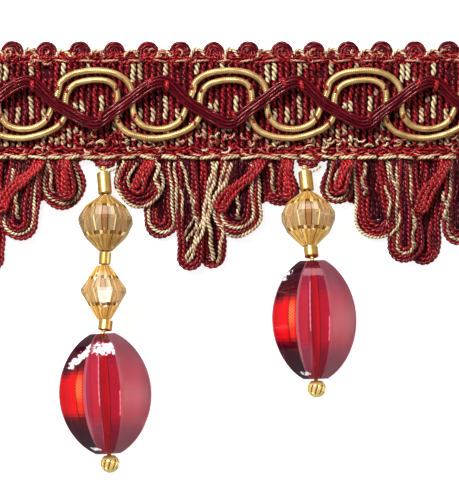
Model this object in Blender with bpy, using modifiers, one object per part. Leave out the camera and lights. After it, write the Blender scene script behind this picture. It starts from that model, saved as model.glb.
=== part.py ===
"""A cut length of beaded loop fringe trim, lying on its back on a surface at z = 0.

Metres, +X along the trim, +Y up its face towards the heading's top edge, +Z out of the face. The origin is
below the middle of the whole piece. Sizes are named in millimetres and turned into metres by MM.
"""

import math
from collections import namedtuple

import bmesh
import bpy
from mathutils import Matrix, Vector

MM = 0.001

# Driving dimensions, in millimetres
TRIM_LENGTH = 87.0
BRAID_REPEAT = 19.43
PIECE_GAP = 0.3
STRAND_LAYER = 1.0

BAND_TOP = 28.1
BAND_BOTTOM = 14.2
BAND_THICKNESS = 1.2
RIB_PITCH = BRAID_REPEAT / 21
RIB_HEIGHT = 0.27

PICOT_BASE = BAND_TOP + PIECE_GAP
PICOT_PITCH = 4.858
PICOT_RADIUS = 1.55
PICOT_CENTRE = 29.65
PICOT_PHASE = -3.8

GOLD_CORD_WIDTH = 0.85
FIRST_ARCH = -15.95
ZIGZAG_WIDTH = 1.75
ZIGZAG_HEIGHT = 0.7
FIRST_CREST = -26.2
CORD_END_INSET = 0.6

ROOT_TOP = BAND_BOTTOM - PIECE_GAP
ROOT_DEPTH = 0.5
ROOT_INSET = 0.12
STRAND_WIDTH = 0.8
STRAND_PITCH = 0.95

THREAD_RADIUS = 0.28
BORE_RADIUS = 0.64
BLIND_BORE = 1.6
PANELS = 8
LONG_RUBY = 7.1
SHORT_RUBY = 6.5
RUBY_END = 1.9
RUBY_POINTEDNESS = 1.18
LARGE_BICONE = 4.2
SMALL_BICONE = 3.5
BUGLE = 1.0
SPACER = 0.85

# A bead with a panel down rests this high above the surface
LONG_AXIS = LONG_RUBY * math.cos(math.pi / PANELS)
SHORT_AXIS = SHORT_RUBY * math.cos(math.pi / PANELS)

# Heights of the layers of the heading, one on the other
GOLD_CORD_LIFT = BAND_THICKNESS + RIB_HEIGHT / 2 + PIECE_GAP + GOLD_CORD_WIDTH / 2
ZIGZAG_LIFT = GOLD_CORD_LIFT + GOLD_CORD_WIDTH / 2 + PIECE_GAP + ZIGZAG_HEIGHT / 2


def clear_scene():
    for left_over in list(bpy.data.objects):
        bpy.data.objects.remove(left_over, do_unlink=True)


clear_scene()
trim = bpy.data.collections.new("beaded_loop_fringe_trim")
helpers = bpy.data.collections.new("profiles_and_cutters")
bpy.context.scene.collection.children.link(trim)
bpy.context.scene.collection.children.link(helpers)


def material(name, colour, roughness, metallic=0.0):
    made = bpy.data.materials.new(name)
    made.use_nodes = True
    shader = made.node_tree.nodes["Principled BSDF"]
    shader.inputs["Base Color"].default_value = (*colour, 1.0)
    shader.inputs["Roughness"].default_value = roughness
    shader.inputs["Metallic"].default_value = metallic
    made.diffuse_color = (*colour, 1.0)
    return made


BURGUNDY = material("burgundy_yarn", (0.20, 0.012, 0.03), 0.6)
SATIN = material("burgundy_satin", (0.12, 0.006, 0.02), 0.3)
GOLD_YARN = material("gold_yarn", (0.55, 0.38, 0.14), 0.4, 0.3)
THREAD = material("gold_thread", (0.6, 0.42, 0.18), 0.5)
GOLD = material("gold_bead", (0.80, 0.52, 0.14), 0.2, 1.0)
CRYSTAL = material("champagne_crystal", (0.85, 0.72, 0.42), 0.05)
RUBY = material("ruby_acrylic", (0.55, 0.01, 0.05), 0.08)


def add_object(name, data, home=trim):
    made = bpy.data.objects.new(name, data)
    home.objects.link(made)
    return made


def finish_node(node, look):
    """Gives a sub-part its material and smooth shading with its hard edges kept."""
    node.data.materials.clear()
    node.data.materials.append(look)
    if node.type == "MESH":
        node.data.shade_smooth()
        node.data.set_sharp_from_angle(angle=math.radians(35))
    return node


def hide_helper(helper):
    helper.hide_render = True
    helper.display_type = "WIRE"


def curve_data(name, paths, closed=False):
    """A curve of POLY splines through paths of (x, y, z) in millimetres."""
    data = bpy.data.curves.new(name, "CURVE")
    data.dimensions = "3D"
    data.use_fill_caps = True
    for path in paths:
        spline = data.splines.new("POLY")
        spline.points.add(len(path) - 1)
        for point, (x, y, z) in zip(spline.points, path):
            point.co = (x * MM, y * MM, z * MM, 1.0)
        spline.use_cyclic_u = closed
    return data


def mesh_from_curve(node):
    """Turns a curve object into a mesh object of the same name, with its caps welded."""
    bpy.context.view_layer.update()
    graph = bpy.context.evaluated_depsgraph_get()
    mesh = bpy.data.meshes.new_from_object(node.evaluated_get(graph))
    bm = bmesh.new()
    bm.from_mesh(mesh)
    bmesh.ops.remove_doubles(bm, verts=bm.verts, dist=1e-6)
    bmesh.ops.recalc_face_normals(bm, faces=bm.faces)
    bm.to_mesh(mesh)
    bm.free()
    name = node.name
    placed = node.matrix_world.copy()
    bpy.data.objects.remove(node, do_unlink=True)
    made = add_object(name, mesh)
    made.matrix_world = placed
    return made


def repeated(row, first, lift):
    """A row of (along, up) points, repeated along the trim and cut at its two ends."""
    ends = TRIM_LENGTH / 2 - CORD_END_INSET
    corners = []
    for k in range(-3, 6):
        for along, up in row:
            corners.append((first + k * BRAID_REPEAT + along, up, lift))
    kept = [c for c in corners if abs(c[0]) < ends - 0.3]
    before = corners[corners.index(kept[0]) - 1]
    after = corners[corners.index(kept[-1]) + 1]

    def cut_at(edge, inner, outer):
        share = (edge - inner[0]) / (outer[0] - inner[0])
        return (edge, inner[1] + share * (outer[1] - inner[1]), lift)

    return [cut_at(-ends, kept[0], before)] + kept + [cut_at(ends, kept[-1], after)]


# Heading ground and picot edge, each a grid whose points are raised and then closed down to a flat back


def relief_slab(name, columns, rows, place, look):
    """A closed slab: place(column, row) gives each top point in millimetres, and the back lies at z = 0."""
    bm = bmesh.new()
    made = bmesh.ops.create_grid(bm, x_segments=columns, y_segments=rows, size=1.0)
    for vert in made["verts"]:
        column = round((vert.co.x + 1) / 2 * columns)
        row = round((vert.co.y + 1) / 2 * rows)
        vert.co = Vector(place(column, row)) * MM
    top = list(bm.faces)
    under = bmesh.ops.extrude_face_region(bm, geom=top)
    for element in under["geom"]:
        if isinstance(element, bmesh.types.BMVert):
            element.co.z = 0.0
    bmesh.ops.recalc_face_normals(bm, faces=bm.faces)
    mesh = bpy.data.meshes.new(name)
    bm.to_mesh(mesh)
    bm.free()
    return finish_node(add_object(name, mesh), look)


BandRow = namedtuple("BandRow", "up height ribbed")
BAND_ROWS = [
    BandRow(BAND_BOTTOM, 0.85, False),
    BandRow(BAND_BOTTOM + 0.55, 1.35, False),
    BandRow(BAND_BOTTOM + 1.25, 1.05, False),
    BandRow(BAND_BOTTOM + 1.95, 1.4, False),
    BandRow(BAND_BOTTOM + 2.6, BAND_THICKNESS, True),
    BandRow(BAND_TOP - 0.3, BAND_THICKNESS, True),
    BandRow(BAND_TOP, 0.95, False),
]


def heading_band():
    ribs = round(TRIM_LENGTH / RIB_PITCH)

    def place(column, row):
        band = BAND_ROWS[row]
        rise = RIB_HEIGHT / 2 if column % 2 else -RIB_HEIGHT / 2
        along = -TRIM_LENGTH / 2 + TRIM_LENGTH * column / (2 * ribs)
        return (along, band.up, band.height + rise * band.ribbed)

    return relief_slab("heading_band", 2 * ribs, len(BAND_ROWS) - 1, place, BURGUNDY)


PicotRow = namedtuple("PicotRow", "share height")
PICOT_ROWS = [
    PicotRow(0.0, 0.8),
    PicotRow(0.42, 1.15),
    PicotRow(0.66, 0.75),
    PicotRow(0.86, 1.1),
    PicotRow(1.0, 0.45),
]


def scallop_outline():
    """(along, up) points of the picot edge: a large scallop and a small one by turns."""
    small_radius = PICOT_PITCH / 2 - PICOT_RADIUS
    half = TRIM_LENGTH / 2
    points = []
    for k in range(-10, 11):
        centre = PICOT_PHASE + k * PICOT_PITCH
        for radius, middle, steps in (
            (PICOT_RADIUS, centre, 6),
            (small_radius, centre + PICOT_PITCH / 2, 3),
        ):
            for step in range(steps):
                angle = math.pi * (1 - step / steps)
                along = middle + radius * math.cos(angle)
                points.append((along, PICOT_CENTRE + radius * math.sin(angle)))
    kept = [p for p in points if abs(p[0]) < half - 0.15]
    return [(-half, kept[0][1])] + kept + [(half, kept[-1][1])]


def picot_edging():
    outline = scallop_outline()

    def place(column, row):
        along, top = outline[column]
        ring = PICOT_ROWS[row]
        return (along, PICOT_BASE + (top - PICOT_BASE) * ring.share, ring.height)

    return relief_slab("picot_edging", len(outline) - 1, len(PICOT_ROWS) - 1, place, SATIN)


# The two wrapped gold cords: (along from the top arch's middle, up) for one repeat of the braid
UPPER_CORD = [
    (-5.51, 24.07),
    (-5.08, 25.52),
    (-3.19, 26.68),
    (0.0, 27.12),
    (2.61, 26.68),
    (4.35, 25.52),
    (5.15, 23.9),
    (5.22, 21.2),
    (5.80, 19.72),
    (6.96, 18.71),
    (8.70, 18.34),
    (10.59, 18.63),
    (12.04, 19.58),
    (13.0, 21.4),
]
LOWER_CORD = [
    (-4.50, 22.48),
    (-4.21, 23.78),
    (-3.19, 24.94),
    (-1.02, 25.52),
    (1.30, 25.45),
    (2.66, 24.55),
    (3.05, 22.91),
    (2.85, 20.2),
    (3.92, 18.27),
    (5.95, 17.33),
    (8.85, 17.04),
    (11.75, 17.69),
    (13.92, 18.85),
    (15.0, 20.5),
]

# The zigzag bundle: (along from its crest, up) for one repeat
ZIGZAG = [
    (0.0, 25.45),
    (1.45, 24.94),
    (2.75, 23.64),
    (4.35, 22.19),
    (6.38, 21.10),
    (8.27, 20.01),
    (9.72, 19.42),
    (11.0, 19.75),
    (12.4, 20.85),
    (15.08, 22.84),
    (17.40, 24.65),
]


def gold_cord(name, row):
    data = curve_data(name, [repeated(row, FIRST_ARCH, GOLD_CORD_LIFT)])
    data.bevel_depth = GOLD_CORD_WIDTH / 2 * MM
    data.bevel_resolution = 1
    return finish_node(mesh_from_curve(add_object(name, data)), GOLD_YARN)


def section(name, points):
    """A closed flat profile that a curve is bevelled with, in millimetres."""
    profile = add_object(name, curve_data(name, [points], closed=True), helpers)
    profile.data.dimensions = "2D"
    hide_helper(profile)
    return profile


def zigzag_cord():
    """Four satin strands side by side, as one bundle with a groove between each two."""
    strands = 4
    half = ZIGZAG_WIDTH / 2
    over = []
    for i in range(2 * strands + 1):
        across = -half + ZIGZAG_WIDTH * i / (2 * strands)
        edge = i in (0, 2 * strands)
        height = 0.12 if edge else (0.5 if i % 2 else 0.34)
        over.append((across, height * ZIGZAG_HEIGHT, 0.0))
    under = [(half * 0.8, -0.5 * ZIGZAG_HEIGHT, 0.0), (-half * 0.8, -0.5 * ZIGZAG_HEIGHT, 0.0)]
    profile = section("zigzag_section", over + under)
    data = curve_data("zigzag_cord", [repeated(ZIGZAG, FIRST_CREST, 0.0)])
    data.dimensions = "2D"
    data.bevel_mode = "OBJECT"
    data.bevel_object = profile
    node = add_object("zigzag_cord", data)
    node.location.z = ZIGZAG_LIFT * MM
    return finish_node(mesh_from_curve(node), SATIN)


# Loop fringe: each row is one bundle of strands, nested in a loop that hangs from the root strip. Its columns
# are the loop's middle and half width at the root, its middle and half width at the belly, its lowest point,
# how many strands it has, and its layer on the surface.
Loop = namedtuple("Loop", "root root_half belly half low strands layer")
LOOPS = [
    # left scallop
    Loop(-42.3, 1.1, -42.2, 1.25, 3.6, 1, 1),
    Loop(-38.2, 2.5, -38.0, 3.3, 2.6, 3, 0),
    Loop(-34.0, 1.9, -33.1, 2.35, -0.9, 2, 1),
    Loop(-31.0, 1.8, -30.4, 2.15, -2.2, 2, 0),
    Loop(-26.2, 2.5, -27.2, 2.9, 2.2, 3, 1),
    Loop(-21.2, 2.5, -21.0, 3.5, 6.7, 3, 0),
    # middle scallop
    Loop(-9.6, 2.5, -9.7, 3.6, 6.9, 3, 1),
    Loop(-6.9, 1.9, -6.6, 2.65, 2.5, 2, 0),
    Loop(-3.0, 1.6, -2.3, 2.05, -2.1, 2, 1),
    Loop(0.5, 1.7, 0.9, 1.95, -1.8, 2, 0),
    Loop(5.0, 2.5, 4.4, 3.6, 2.6, 3, 1),
    Loop(9.7, 2.1, 10.7, 2.7, 7.1, 2, 0),
    # right scallop
    Loop(19.2, 1.9, 18.8, 2.4, 7.4, 2, 1),
    Loop(23.6, 2.5, 24.6, 3.3, 2.3, 3, 0),
    Loop(28.4, 2.0, 28.2, 2.6, -0.6, 2, 1),
    Loop(32.6, 1.9, 32.2, 2.15, -1.3, 2, 0),
    Loop(36.6, 1.9, 36.4, 2.6, 1.6, 2, 1),
    Loop(40.9, 1.6, 40.6, 2.5, 4.6, 2, 0),
]
BELLY_STEPS = 8
LEG_STEPS = 3


def strand_path(loop, inset):
    """One strand of a loop: down a leg, round the belly and up the other leg."""
    lift = STRAND_WIDTH / 2 + loop.layer * STRAND_LAYER
    radius = loop.half - STRAND_WIDTH / 2
    centre_up = loop.low + STRAND_WIDTH / 2 + radius
    own = radius - inset
    root_half = loop.root_half - inset
    start_up = ROOT_TOP - ROOT_DEPTH / 2

    def leg(side):
        points = []
        for step in range(LEG_STEPS):
            share = step / LEG_STEPS
            ease = share * share * (3 - 2 * share)
            middle = loop.root + (loop.belly - loop.root) * ease
            half = root_half + (own - root_half) * ease
            points.append((middle + side * half, start_up + (centre_up - start_up) * share, lift))
        return points

    belly = []
    for step in range(BELLY_STEPS + 1):
        angle = math.pi * (1 + step / BELLY_STEPS)
        along = loop.belly + own * math.cos(angle)
        belly.append((along, centre_up + own * math.sin(angle), lift))
    return leg(-1) + belly + leg(1)[::-1]


def loop_fringe():
    half = STRAND_WIDTH / 2
    square = [(-half, -half, 0.0), (half, -half, 0.0), (half, half, 0.0), (-half, half, 0.0)]
    profile = section("strand_section", square)
    paths = []
    for loop in LOOPS:
        for strand in range(loop.strands):
            paths.append(strand_path(loop, strand * STRAND_PITCH))
    data = curve_data("loop_fringe", paths)
    data.bevel_mode = "OBJECT"
    data.bevel_object = profile
    data.twist_mode = "Z_UP"
    strands = mesh_from_curve(add_object("loop_fringe", data))

    bm = bmesh.new()
    bmesh.ops.create_cube(bm, size=1.0)
    depth = ROOT_DEPTH * MM
    full = (STRAND_LAYER + STRAND_WIDTH) * MM
    tall = full - 2 * ROOT_INSET * MM
    bmesh.ops.scale(bm, vec=((TRIM_LENGTH - 0.2) * MM, depth, tall), verts=bm.verts)
    bmesh.ops.translate(bm, vec=(0.0, ROOT_TOP * MM - depth / 2, full / 2), verts=bm.verts)
    strip_mesh = bpy.data.meshes.new("root_strip")
    bm.to_mesh(strip_mesh)
    bm.free()
    strip = add_object("root_strip", strip_mesh, helpers)
    hide_helper(strip)
    join = strands.modifiers.new("roots", "BOOLEAN")
    join.operation = "UNION"
    join.object = strip
    return finish_node(strands, BURGUNDY)


# Beads: each is turned about its own thread, so its profile runs up its bore and down its outer side


def bead_between(name, outline, start, end, sides, look):
    """A bead turned in this many sides, its outline (share of length, radius) set from start to end.

    An outline that ends on the bead's own axis closes its lower end, and its bore is then a blind one.
    """
    start = Vector(start)
    end = Vector(end)
    length = (end - start).length
    blind = outline[-1][1] < BORE_RADIUS
    if blind:
        bore = [(0.0, -BLIND_BORE), (BORE_RADIUS, -BLIND_BORE), (BORE_RADIUS, 0.0)]
    else:
        bore = [(BORE_RADIUS, -length), (BORE_RADIUS, 0.0)]
    profile = bore + [(radius, -share * length) for share, radius in outline]
    points = [(radius * MM, 0.0, along * MM) for radius, along in profile]
    edges = [(i, i + 1) for i in range(len(points) - 1)]
    if not blind:
        edges.append((len(points) - 1, 0))
    mesh = bpy.data.meshes.new(name)
    mesh.from_pydata(points, edges, [])
    node = add_object(name, mesh)
    turn = node.modifiers.new("turned", "SCREW")
    turn.steps = sides
    turn.render_steps = sides
    turn.use_merge_vertices = True
    turn.merge_threshold = 0.000001
    down = (end - start).normalized()
    side = down.cross(Vector((0.0, 0.0, 1.0))).normalized()
    out = side.cross(down)
    frame = Matrix((side, -out, -down)).transposed()
    placed = Matrix.Translation(start * MM) @ frame.to_4x4()
    node.matrix_world = placed @ Matrix.Rotation(math.pi / sides, 4, "Z")
    return finish_node(node, look)


def oval_outline(radius, end_radius, steps):
    """A slightly pointed ellipse, cut off square where it reaches end_radius."""
    reach = math.acos((end_radius / radius) ** (1 / RUBY_POINTEDNESS))
    outline = []
    for step in range(steps + 1):
        angle = -reach + 2 * reach * step / steps
        share = 0.5 + 0.5 * math.sin(angle) / math.sin(reach)
        outline.append((share, radius * math.cos(angle) ** RUBY_POINTEDNESS))
    return outline


def ball_outline(radius, rim, steps):
    """A ball, cut off square at its top where its radius is rim, and whole at its bottom."""
    reach = math.acos(rim / radius)
    outline = []
    for step in range(steps):
        angle = reach - (reach + math.pi / 2) * step / steps
        share = (math.sin(reach) - math.sin(angle)) / (math.sin(reach) + 1)
        outline.append((share, radius * math.cos(angle)))
    return outline + [(1.0, 0.0)]


def bicone_outline(radius, waist, shoulder, neck):
    """A cut bicone with a narrow band at its waist; its shoulders and necks are shares of the radius."""
    return [
        (0.0, radius * neck),
        (waist / 2, radius * shoulder),
        (waist - 0.04, radius),
        (waist + 0.04, radius),
        ((1 + waist) / 2, radius * shoulder),
        (1.0, radius * neck),
    ]


def tube_outline(radius):
    return [(0.0, radius), (1.0, radius)]


Bead = namedtuple("Bead", "kind size start end")
DROPS = {
    "long": [
        Bead("bugle_top", BUGLE, (-14.94, 11.9, 1.95), (-14.7, 9.08, 2.9)),
        Bead("bicone_large", LARGE_BICONE, (-14.6, 8.65, 3.2), (-14.6, 0.75, 4.65)),
        Bead("tube", SPACER, (-14.62, 0.42, 4.71), (-14.72, -1.06, 4.88)),
        Bead("bicone_small", SMALL_BICONE, (-14.9, -1.38, 4.92), (-14.75, -9.1, 5.75)),
        Bead("bugle_low", BUGLE, (-14.5, -9.4, 5.95), (-14.62, -10.5, 6.2)),
        Bead("ruby_oval", LONG_RUBY, (-14.98, -11.12, LONG_AXIS), (-14.1, -28.3, LONG_AXIS)),
        Bead("end_bead", 1.34, (-13.95, -28.6, LONG_AXIS), (-13.8, -31.08, LONG_AXIS)),
    ],
    "short": [
        Bead("bugle_top", BUGLE, (14.2, 12.05, 2.0), (14.45, 9.55, 2.9)),
        Bead("bicone_large", LARGE_BICONE, (14.5, 9.15, 3.15), (14.72, 1.42, 4.9)),
        Bead("bugle_low", BUGLE, (14.95, 1.12, 5.15), (15.05, 0.05, 5.58)),
        Bead("ruby_oval", SHORT_RUBY, (15.15, -0.62, SHORT_AXIS), (15.62, -17.6, SHORT_AXIS)),
        Bead("end_bead", 1.31, (15.72, -17.9, SHORT_AXIS), (15.82, -20.3, SHORT_AXIS)),
    ],
}
OUTLINES = {
    "bugle_top": (tube_outline, 8, GOLD),
    "bugle_low": (tube_outline, 8, GOLD),
    "tube": (tube_outline, 8, GOLD),
    "bicone_large": (lambda size: bicone_outline(size, 0.45, 0.78, 0.28), 8, CRYSTAL),
    "bicone_small": (lambda size: bicone_outline(size, 0.47, 0.68, 0.33), 8, CRYSTAL),
    "ruby_oval": (lambda size: oval_outline(size, RUBY_END, 13), PANELS, RUBY),
    "end_bead": (lambda size: ball_outline(size, BORE_RADIUS + 0.08, 6), 8, GOLD),
}


def ball(radius, place):
    """A small knot's mesh, as a helper that a thread is joined with."""
    bm = bmesh.new()
    bmesh.ops.create_uvsphere(bm, u_segments=8, v_segments=6, radius=radius * MM)
    bmesh.ops.translate(bm, vec=Vector(place) * MM, verts=bm.verts)
    mesh = bpy.data.meshes.new("knot")
    bm.to_mesh(mesh)
    bm.free()
    knot = add_object("knot", mesh, helpers)
    hide_helper(knot)
    return knot


def bead_thread(name, beads):
    """The thread through every bead, knotted above the first one, its lower end set in the end bead's bore."""
    knot_radius = 0.45
    first = Vector(beads[0].start)
    way_in = (first - Vector(beads[0].end)).normalized()
    above = first + way_in * (knot_radius + PIECE_GAP)
    mouth = Vector(beads[-1].start)
    way_out = (Vector(beads[-1].end) - mouth).normalized()
    inside = mouth + way_out * (BLIND_BORE - BORE_RADIUS + THREAD_RADIUS)
    path = [tuple(above)]
    for bead in beads[:-1]:
        path += [bead.start, bead.end]
    path += [tuple(mouth), tuple(inside)]
    data = curve_data(name, [path])
    data.bevel_depth = THREAD_RADIUS * MM
    data.bevel_resolution = 1
    thread = mesh_from_curve(add_object(name, data))
    tie = thread.modifiers.new("knot", "BOOLEAN")
    tie.operation = "UNION"
    tie.object = ball(knot_radius, above)
    return finish_node(thread, THREAD)


def bead_drop(which):
    beads = DROPS[which]
    for bead in beads:
        outline, sides, look = OUTLINES[bead.kind]
        name = f"{which}_{bead.kind}"
        bead_between(name, outline(bead.size), bead.start, bead.end, sides, look)
    bead_thread(f"{which}_bead_thread", beads)


heading_band()
picot_edging()
gold_cord("gold_cord_upper", UPPER_CORD)
gold_cord("gold_cord_lower", LOWER_CORD)
zigzag_cord()
loop_fringe()
bead_drop("long")
bead_drop("short")
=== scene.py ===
# %% [markdown]
# # Dressing a beaded loop fringe trim
#
# The real trim is sewn along the edge of a curtain or a cushion. A narrow woven heading carries two wrapped gold
# cords and a satin zigzag. Picots stand along its top, loops of burgundy and cream cord hang from its lower edge,
# and two drops of gold, crystal and ruby beads hang between the loops. Here a cut length of it lies on its back
# under a camera that looks straight down on its face.
#
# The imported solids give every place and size. This file adds what a solid can't hold: plies laid round each
# other, thread wound round a core, stitches, cut glass, and the finish of each surface.

# %% Load the frame that everything is fitted to
import math
from collections import namedtuple

import bpy
import numpy as np
from mathutils import Matrix, Vector


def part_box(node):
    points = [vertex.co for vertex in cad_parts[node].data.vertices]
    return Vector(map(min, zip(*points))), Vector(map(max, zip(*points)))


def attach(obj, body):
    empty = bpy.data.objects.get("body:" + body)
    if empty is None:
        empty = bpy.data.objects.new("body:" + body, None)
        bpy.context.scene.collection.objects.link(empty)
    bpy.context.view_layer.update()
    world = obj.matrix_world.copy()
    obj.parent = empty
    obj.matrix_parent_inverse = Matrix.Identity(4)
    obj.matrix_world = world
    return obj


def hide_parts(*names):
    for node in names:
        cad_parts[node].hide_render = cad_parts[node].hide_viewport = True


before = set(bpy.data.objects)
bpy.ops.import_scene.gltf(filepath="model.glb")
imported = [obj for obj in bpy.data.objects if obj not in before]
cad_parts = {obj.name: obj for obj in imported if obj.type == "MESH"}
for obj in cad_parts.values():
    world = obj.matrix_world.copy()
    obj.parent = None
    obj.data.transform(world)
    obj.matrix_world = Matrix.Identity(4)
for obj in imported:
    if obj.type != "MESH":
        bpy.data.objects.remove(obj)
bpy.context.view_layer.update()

MM = 0.001
UP = np.array((0.0, 0.0, 1.0))
print("nodes in the frame:", len(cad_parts))

# %% [markdown]
# ## Sizes that the pieces share
#
# The braid of the heading repeats every 19.43 mm. Its cords, its windows and its stitches all follow that repeat,
# so each is drawn once, in millimetres from the middle of a gold arch, and carried along the trim. These are the
# same driving sizes that the solids were made from.

# %% Sizes in millimetres
TRIM_LENGTH = 87.0
HALF_LENGTH = TRIM_LENGTH / 2
BRAID_REPEAT = 19.43
FIRST_ARCH = -15.95
REPEATS = range(-2, 5)

BAND_LOW, BAND_HIGH = (np.array(corner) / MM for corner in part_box("heading_band"))
BAND_BOTTOM = 14.2
BAND_TOP = 28.1
print("heading", (BAND_HIGH - BAND_LOW).round(2), "mm")

# %% [markdown]
# ## Camera, floor and light
#
# The photo was taken square to the face from far off, so its edges run straight and nothing leans. A long lens
# high above the floor gives the same flat view. The floor is plain and pale, and glows a little like a lit table,
# which keeps it white under the trim. A key box from the upper left makes the satin sparkle and leaves the gaps
# between the cords dark. Two low boxes and a broad card on the right light the beads from their sides. The photo's
# white glints come from lamps of an unknown shape, so they are painted in the beads' finish instead.

# %% Camera straight above the face, sizes in millimetres
VIEW_MIDDLE = (3.26, 0.87)
VIEW_HEIGHT = 72.5
CAMERA_RISE = 600.0
SENSOR_HEIGHT = 36.0


def add(name, data):
    """A new object of this name in the scene."""
    made = bpy.data.objects.new(name, data)
    bpy.context.scene.collection.objects.link(made)
    return made


eye = bpy.data.cameras.new("above_the_face")
eye.sensor_fit = "VERTICAL"
eye.sensor_height = SENSOR_HEIGHT
eye.lens = SENSOR_HEIGHT * CAMERA_RISE / VIEW_HEIGHT
camera = add("above_the_face", eye)
camera.location = Vector((*VIEW_MIDDLE, CAMERA_RISE)) * MM
bpy.context.scene.camera = camera
bpy.context.scene.view_settings.view_transform = "Standard"
print("lens", round(eye.lens), "mm")

# %% Soft boxes of light: where each stands, its width and depth, and its brightness to the eye
SoftBox = namedtuple("SoftBox", "name place size brightness")
SOFT_BOXES = [
    SoftBox("key_box_upper_left", (-190, 260, 380), (150, 150), 52.0),
    SoftBox("low_box_beyond_the_top", (-70, 330, 70), (260, 110), 4.0),
    SoftBox("low_box_lower_left", (-210, -300, 60), (130, 60), 9.0),
    SoftBox("side_card", (330, -20, 90), (170, 300), 2.6),
]
LIT_POINT = Vector((0.0, 0.0, 3.0))

for box in SOFT_BOXES:
    lamp = bpy.data.lights.new(box.name, "AREA")
    lamp.shape = "RECTANGLE"
    lamp.size, lamp.size_y = (side * MM for side in box.size)
    lamp.energy = box.brightness * math.pi * lamp.size * lamp.size_y
    held = add(box.name, lamp)
    held.location = Vector(box.place) * MM
    held.rotation_euler = (LIT_POINT - Vector(box.place)).to_track_quat("-Z", "Y").to_euler()
    print(box.name, round(lamp.energy, 2), "watts")

# %% The air of the studio
world = bpy.data.worlds.new("studio_air")
world.use_nodes = True
air = world.node_tree.nodes["Background"].inputs
air["Color"].default_value = (1.0, 0.99, 0.975, 1.0)
air["Strength"].default_value = 0.3
bpy.context.scene.world = world

# %% [markdown]
# ## Shader maths in plain Python
#
# A finish is easier to read as a formula than as a page of node links. `Wire` wraps one socket, so `1 - groove`
# or `fibre * 0.4 + tint` adds the Math nodes that it stands for. `Finish` holds one material, and its `node`
# makes any other node: its settings are set first, then its sockets.


# %% A socket that takes part in sums
class Wire:
    """One output socket. An operator on it adds a Math node and gives that node's output."""

    def __init__(self, finish, socket):
        self.finish = finish
        self.socket = socket

    def maths(self, operation, *terms):
        return self.finish.node("ShaderNodeMath", {"operation": operation}, dict(enumerate(terms)))

    def sine(self):
        return self.maths("SINE", self)

    def held(self):
        """The number itself, held between 0 and 1."""
        return self.maths("GREATER_THAN", self, 0.0) * self.maths("MINIMUM", self, 1.0)

    def __add__(self, other):
        return self.maths("ADD", self, other)

    def __sub__(self, other):
        return self.maths("SUBTRACT", self, other)

    def __rsub__(self, other):
        return self.maths("SUBTRACT", other, self)

    def __mul__(self, other):
        return self.maths("MULTIPLY", self, other)

    __radd__ = __add__
    __rmul__ = __mul__


# %% A material and the nodes that feed it
class Finish:
    """One material. Constants go on the shader's own sockets, and wires feed what changes over the surface."""

    def __init__(self, name, constants):
        self.material = bpy.data.materials.new(name)
        self.material.use_nodes = True
        self.tree = self.material.node_tree
        self.shader = self.tree.nodes["Principled BSDF"]
        self.feed(self.shader, constants)

    def feed(self, node, sockets):
        for name, value in sockets.items():
            socket = node.inputs[name]
            if isinstance(value, Wire):
                self.tree.links.new(value.socket, socket)
            elif socket.type == "RGBA":
                socket.default_value = (*value[:3], 1.0)
            else:
                socket.default_value = value

    def node(self, kind, settings, sockets, out=0):
        made = self.tree.nodes.new(kind)
        for name, value in settings.items():
            setattr(made, name, value)
        self.feed(made, sockets)
        return Wire(self, made.outputs[out])

    def mix(self, share, first, second):
        """The first colour, turned into the second by a share from 0 to 1."""
        return self.node("ShaderNodeMix", {"data_type": "RGBA"}, {0: share, 6: first, 7: second}, out=2)

    def attribute(self, name, out="Vector"):
        """A number, a vector or a colour that the mesh carries under this name."""
        return self.node("ShaderNodeAttribute", {"attribute_name": name}, {}, out=out)

    def place(self):
        """Where a point lies in the frame, in metres."""
        return self.node("ShaderNodeTexCoord", {}, {}, out="Object")

    def times(self, vector, shares):
        return self.node("ShaderNodeVectorMath", {"operation": "MULTIPLY"}, {0: vector, 1: shares})

    def noise(self, place, scale, detail=2.0):
        """Soft lumps, so many to the unit of place, in all directions alike or with a number for each."""
        scales = scale if isinstance(scale, tuple) else (scale, scale, scale)
        sockets = {"Vector": self.times(place, scales), "Scale": 1.0, "Detail": detail}
        return self.node("ShaderNodeTexNoise", {}, sockets)

    def part(self, vector, axis):
        return self.node("ShaderNodeSeparateXYZ", {}, {0: vector}, out=axis)

    def bump(self, height, strength, rise):
        """A normal raised by a height from 0 to 1, which stands for this many millimetres."""
        sockets = {"Strength": strength, "Distance": rise * MM, "Height": height}
        return self.node("ShaderNodeBump", {}, sockets)

    def wear(self, sockets):
        self.feed(self.shader, sockets)
        return self.material


# %% The floor, a hair below the trim
FLOOR_WIDTH = 3000.0
FLOOR_DROP = 0.05
FLOOR_TONES = ((0.60, 0.60, 0.60), (0.66, 0.66, 0.66))
FLOOR_GRAINS = 900.0


def floor_finish():
    """A pale lit table with the faintest tooth."""
    table = Finish("pale_lit_table", {
        "Roughness": 0.9,
        "Specular IOR Level": 0.1,
        "Emission Color": (1.0, 1.0, 1.0),
        "Emission Strength": 0.80,
    })
    return table.wear({"Base Color": table.mix(table.noise(table.place(), FLOOR_GRAINS), *FLOOR_TONES)})


bpy.ops.mesh.primitive_plane_add(size=FLOOR_WIDTH * MM, location=(0.0, 0.0, -FLOOR_DROP * MM))
floor = bpy.context.object
floor.name = "pale_floor"
floor.data.materials.append(floor_finish())
floor.visible_glossy = False
print("floor", FLOOR_WIDTH, "mm across")
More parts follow.
